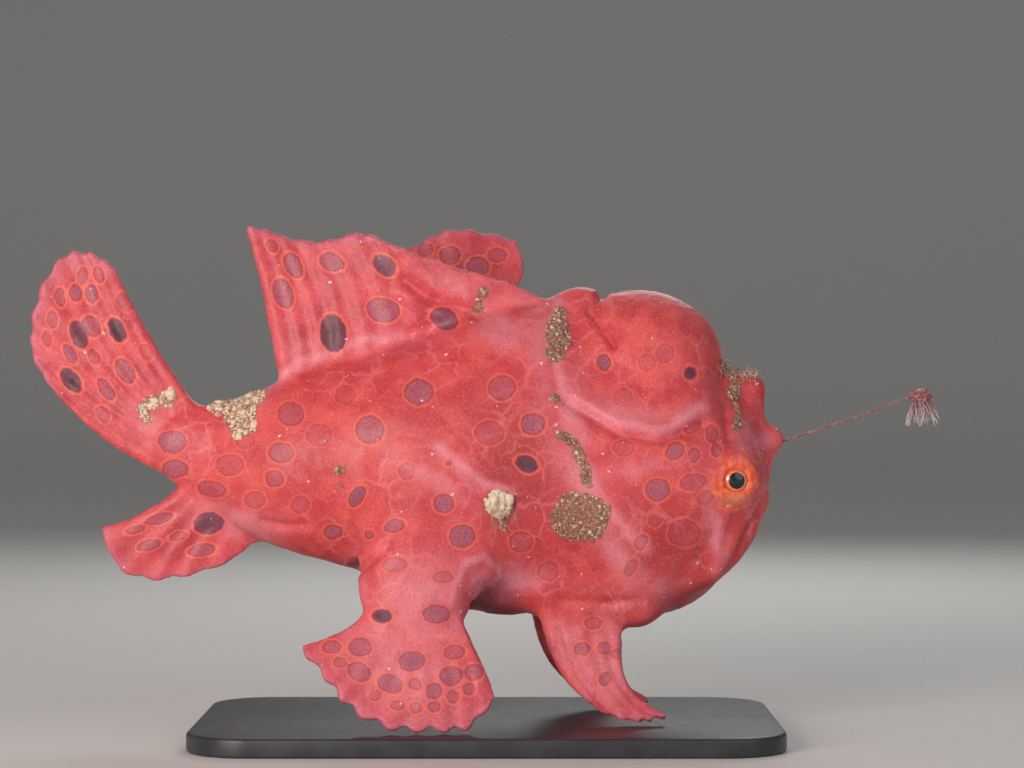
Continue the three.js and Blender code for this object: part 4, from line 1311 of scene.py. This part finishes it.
def lumps_on(chosen, count, size_mm, seed, sink, shades):
    """Dented lumps at random vertices of the chosen ones."""
    rng = np.random.default_rng(seed)
    for _ in range(count):
        at = rng.choice(chosen)
        size = rng.uniform(*size_mm) * rng.uniform(0.7, 1.3)
        squash = np.array([rng.uniform(0.7, 1.4), rng.uniform(0.7, 1.4), rng.uniform(0.5, 1.0)])
        dents = 1 + 0.3 * lattice_noise(lump_ball * 2 + rng.uniform(0, 30, 3), 1.0, 41)
        turn = np.array(Vector((0, 0, 1)).rotation_difference(Vector(normals[at])).to_matrix())
        place = points[at] + normals[at] * size * (0.5 - sink)
        shade = shades[0] + (shades[1] - shades[0]) * rng.uniform()
        if points[at, 0] < LIMY_REAR_OF_MM:
            shade = min(1.0, shade + LIMY)
        yield place + (lump_ball * dents[:, None] * squash * size) @ turn.T, lump_faces, points[at], shade


def threads_on(chosen, count, length_mm, seed, hang):
    """Thin curved threads at random vertices of the chosen ones; hang bends them down."""
    rng = np.random.default_rng(seed)
    along = np.linspace(0, 1, 6)[:, None]
    for _ in range(count):
        at = rng.choice(chosen)
        aim = normals[at] + rng.uniform(-1.3, 1.3, 3)
        aim /= np.linalg.norm(aim)
        length = rng.uniform(*length_mm)
        path = points[at] + along * aim * length + along**2 * length * np.array([0, 0, -hang])
        path += rng.uniform(-0.3, 0.3, 3) * np.sin(along * 4) * length * 0.4
        yield *tube(path, 0.06 * (1 - 0.7 * along[:, 0]), 5), points[at], rng.uniform(0.3, 1.0)


print("triangles in a lump:", len(lump_faces))

# %% Scatter them
VERY_SHARP = 6.0
WHITE_TUFT_BLOTS = [(497, 504, 13, 12, 0, 1.0)]
ALGAE_BLOTS = [(733, 366, 15, 11, 0, 1.0), (745, 376, 12, 8, 0, 1.0)]
seen = side_view(points)
white = blots(seen, WHITE_TUFT_BLOTS, np.flatnonzero(points[:, 1] < 0), VERY_SHARP)
algae = blots(seen, ALGAE_BLOTS, everywhere, VERY_SHARP)
crusted = np.flatnonzero(crust > 0.45)
limy = crusted[points[crusted, 0] < LIMY_REAR_OF_MM]
tuft = np.flatnonzero((white > 0.4) & (normals[:, 1] < 0))
bare = np.flatnonzero((normals[:, 1] < 0.3) & (fin_amount < 0.5) & (points[:, 2] > 10))
crest = np.flatnonzero((algae > 0.4) & (normals[:, 2] > -0.2) & (np.abs(points[:, 1]) < 6))
LUMP_COUNT = 1800
lumps = [
    *lumps_on(crusted, LUMP_COUNT, (0.09, 0.24), 51, 0.25, (0, 1)),  # fine crust
    *lumps_on(crusted, LUMP_COUNT // 6, (0.24, 0.4), 54, 0.5, (0, 0.5)),  # coarse, dark grains in it
    *lumps_on(limy, 70, (0.3, 0.62), 55, 0.72, (0, 1)),  # lime on the tail
    *lumps_on(tuft, 90, (0.3, 0.75), 52, -0.5, (0.9, 1)),  # the white tuft on the flank
    *lumps_on(bare, 90, (0.07, 0.14), 53, 0.25, (1, 1)),  # loose grit
]
threads = [
    *threads_on(crest, 320, (0.3, 1.9), 61, 0.0),  # algae behind the second spine
    *threads_on(tuft, 60, (1.2, 3.4), 62, 0.9),
    *threads_on(crusted, 420, (0.3, 0.9), 63, 0.3),
]
growth_pieces = [growth_piece("skin_crusts", lumps), growth_piece("skin_threads", threads)]
print("lumps:", len(lumps), "threads:", len(threads))

# %% [markdown]
# Silt and lime have no gloss at all: the surface is rough at every scale, so it looks the same from every
# side. A lump's own shade, drawn when it was made, sets it between brown silt and cream lime, and a grit
# noise of a quarter of a millimetre breaks that up.

# %% Crust material: silt and lime held by algae, dull and crumbly
crust_material, tree, _, numbers = new_material("silt_and_lime_crust", ("shade",), {"grit": (0.25, 3.0, 0.7)})
crust_colour = paint(tree, numbers, "#8a5f4e", [
    ("#ba8b75", ("shade", 0.1, 0.75)),
    ("#e2cfb4", ("shade", 0.72, 0.95)),
    ("#d9c4ab", ("grit", 0.5, 0.68, 0.0, 0.5)),
    ("#5a3a30", ("grit", 0.45, 0.32, 0.0, 0.5)),
])
surface = node(tree, "BsdfPrincipled", {
    "Base Color": crust_colour,
    "Roughness": product(tree, numbers, ("grit", 0.3, 0.7, 0.6, 0.85)),
    "Normal": node(tree, "Bump", {"Height": numbers["grit"], "Strength": 0.7, "Distance": 0.08 * MM}),
})
node(tree, "OutputMaterial", {"Surface": surface})
for piece in growth_pieces:
    piece.data.materials.append(crust_material)
    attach(piece, "root")
print("crust material on", len(growth_pieces), "pieces")

# %% [markdown]
# ## Display base
#
# On one hand and two feet the fish would tip over, so it stands on a plain board. The frame's board is
# right in size, and this mesh gives it rounder corners and a softer edge. The finish is a satin lacquer
# on fine board: dark, so that the pink fins stand out, with a faint orange-peel in the film.

# %% Base mesh
CORNER_RADIUS_MM, CORNER_STEPS = 10, 14
BEVEL_MM, BEVEL_STEPS = 0.5, 5


def base_board():
    low, high = (np.array(corner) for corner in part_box("stand_base"))
    half = (high - low)[:2] / 2
    corner_radius, bevel = CORNER_RADIUS_MM * MM, BEVEL_MM * MM

    def outline(inset):
        points = []
        for quarter, (sx, sy) in enumerate(((1, -1), (1, 1), (-1, 1), (-1, -1))):
            centre = np.array([sx, sy]) * (half - corner_radius)
            for step in range(CORNER_STEPS + 1):
                angle = math.radians(-90 + 90 * quarter + 90 * step / CORNER_STEPS)
                points.append(centre + (corner_radius - inset) * np.array([math.cos(angle), math.sin(angle)]))
        return points

    middle = (low + high)[:2] / 2
    levels = [(bevel, low[2])]
    for step in range(1, BEVEL_STEPS + 1):
        turn = math.radians(90 * step / BEVEL_STEPS)
        levels.append((bevel * (1 - math.sin(turn)), low[2] + bevel * (1 - math.cos(turn))))
    for step in range(BEVEL_STEPS + 1):
        turn = math.radians(90 * step / BEVEL_STEPS)
        levels.append((bevel * (1 - math.cos(turn)), high[2] - bevel * (1 - math.sin(turn))))
    rings = [[(*(middle + p), z) for p in outline(inset)] for inset, z in levels]
    count = len(rings[0])
    vertices = [v for ring_points in rings for v in ring_points]
    faces = [list(range(count))[::-1], [len(vertices) - count + i for i in range(count)]]
    for level in range(len(rings) - 1):
        for i in range(count):
            j = (i + 1) % count
            below, above = level * count, (level + 1) * count
            faces.append([below + i, below + j, above + j, above + i])
    return to_fish(vertices), faces


board = add_object("stand_base_board", *base_board())
SHARP_DEGREES = 40
apply_modifier(board, "EDGE_SPLIT", split_angle=math.radians(SHARP_DEGREES))
print("board's top at", round(BASE_TOP / MM, 2), "mm")

# %% Base material: satin lacquer, sprayed on fine board
base_noises = {"dust": (6.0, 4.0, 0.6), "peel": (0.9, 1.0, 0.5)}
base_material, tree, _, numbers = new_material("satin_lacquered_board", (), base_noises)
surface = node(tree, "BsdfPrincipled", {
    "Base Color": paint(tree, numbers, "#2b2c2f", [("#34363a", ("dust", 0.35, 0.7))]),
    "Roughness": product(tree, numbers, ("dust", 0.3, 0.7, 0.36, 0.46)),
    "Normal": node(tree, "Bump", {"Height": numbers["peel"], "Strength": 0.15, "Distance": 0.05 * MM}),
    "IOR": 1.5,
})
node(tree, "OutputMaterial", {"Surface": surface})
board.data.materials.append(base_material)
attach(board, "root")
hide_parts("stand_base")
print("board:", len(board.data.polygons), "faces")

# %% [markdown]
# ## Floor, light and camera
#
# A plain pale floor and large soft lights show the form without tricks. The floor is a sheet of matt
# paper that bends up behind the fish, so that no horizon shows. The main light comes from above on the
# camera's left, a weaker one fills from the right, and one behind draws the outline.

# %% Floor
FLOOR_M = {"half_width": 4.0, "front": -4.0, "bend": 1.4, "bend_radius": 0.6, "top": 3.4}
BEND_STEPS = 12
profile = [(FLOOR_M["front"], 0.0)]
for step in range(BEND_STEPS + 1):
    turn = math.radians(90 * step / BEND_STEPS)
    radius = FLOOR_M["bend_radius"]
    profile.append((FLOOR_M["bend"] + radius * math.sin(turn), radius * (1 - math.cos(turn))))
profile.append((profile[-1][0], FLOOR_M["top"]))
floor_corners = [(x, y, z) for y, z in profile for x in (-FLOOR_M["half_width"], FLOOR_M["half_width"])]
floor_faces = [[2 * i, 2 * i + 1, 2 * i + 3, 2 * i + 2] for i in range(len(profile) - 1)]
floor = add_object("studio_floor", to_fish(floor_corners), floor_faces)
floor_material, tree, _, numbers = new_material("pale_paper_floor", (), {"fibre": (3.0, 3.0, 0.5)})
surface = node(tree, "BsdfPrincipled", {
    "Base Color": paint(tree, numbers, "#d8d6d2", [("#dfddd9", ("fibre", 1.0))]),
    "Roughness": 0.9,
})
node(tree, "OutputMaterial", {"Surface": surface})
floor.data.materials.append(floor_material)
print("floor and backdrop:", len(floor_faces), "faces")

# %% Lights


def area_light(name, place_mm, aim_mm, size_m, watts, hex_value):
    light = bpy.data.lights.new(name, "AREA")
    light.shape = "DISK"
    light.size = size_m
    light.energy = watts
    light.color = colour(hex_value)[:3]
    lamp = bpy.data.objects.new(name, light)
    start, end = Vector(to_scene(place_mm)), Vector(to_scene(aim_mm))
    lamp.location = start
    lamp.rotation_euler = (end - start).to_track_quat("-Z", "Y").to_euler()
    bpy.context.collection.objects.link(lamp)


AIM_MM = [5, 0, 38]  # the middle of the trunk
area_light("key", [-260, -440, 130], AIM_MM, 0.26, 2.15, "#fff2ea")
area_light("fill", [300, -330, 200], AIM_MM, 0.4, 0.5, "#eef2ff")
area_light("outline", [60, 380, 330], AIM_MM, 0.3, 0.7, "#ffffff")
world = bpy.data.worlds.new("studio")
bpy.context.scene.world = world
world.use_nodes = True
world.node_tree.nodes["Background"].inputs["Color"].default_value = colour("#e6e6e8")
world.node_tree.nodes["Background"].inputs["Strength"].default_value = 0.26
bpy.context.scene.view_settings.view_transform = "Standard"

# %% Camera
camera_data = bpy.data.cameras.new("camera")
camera_data.lens = LENS_MM
camera_data.sensor_width = SENSOR_MM
camera = bpy.data.objects.new("camera", camera_data)
camera.location = to_scene([VIEW_CENTRE_MM[0], -CAMERA_AWAY_MM, VIEW_CENTRE_MM[1]])
camera.rotation_euler = (math.radians(90), 0, 0)
bpy.context.collection.objects.link(camera)
bpy.context.scene.camera = camera
print("camera at", [round(value, 3) for value in camera.location], "m")
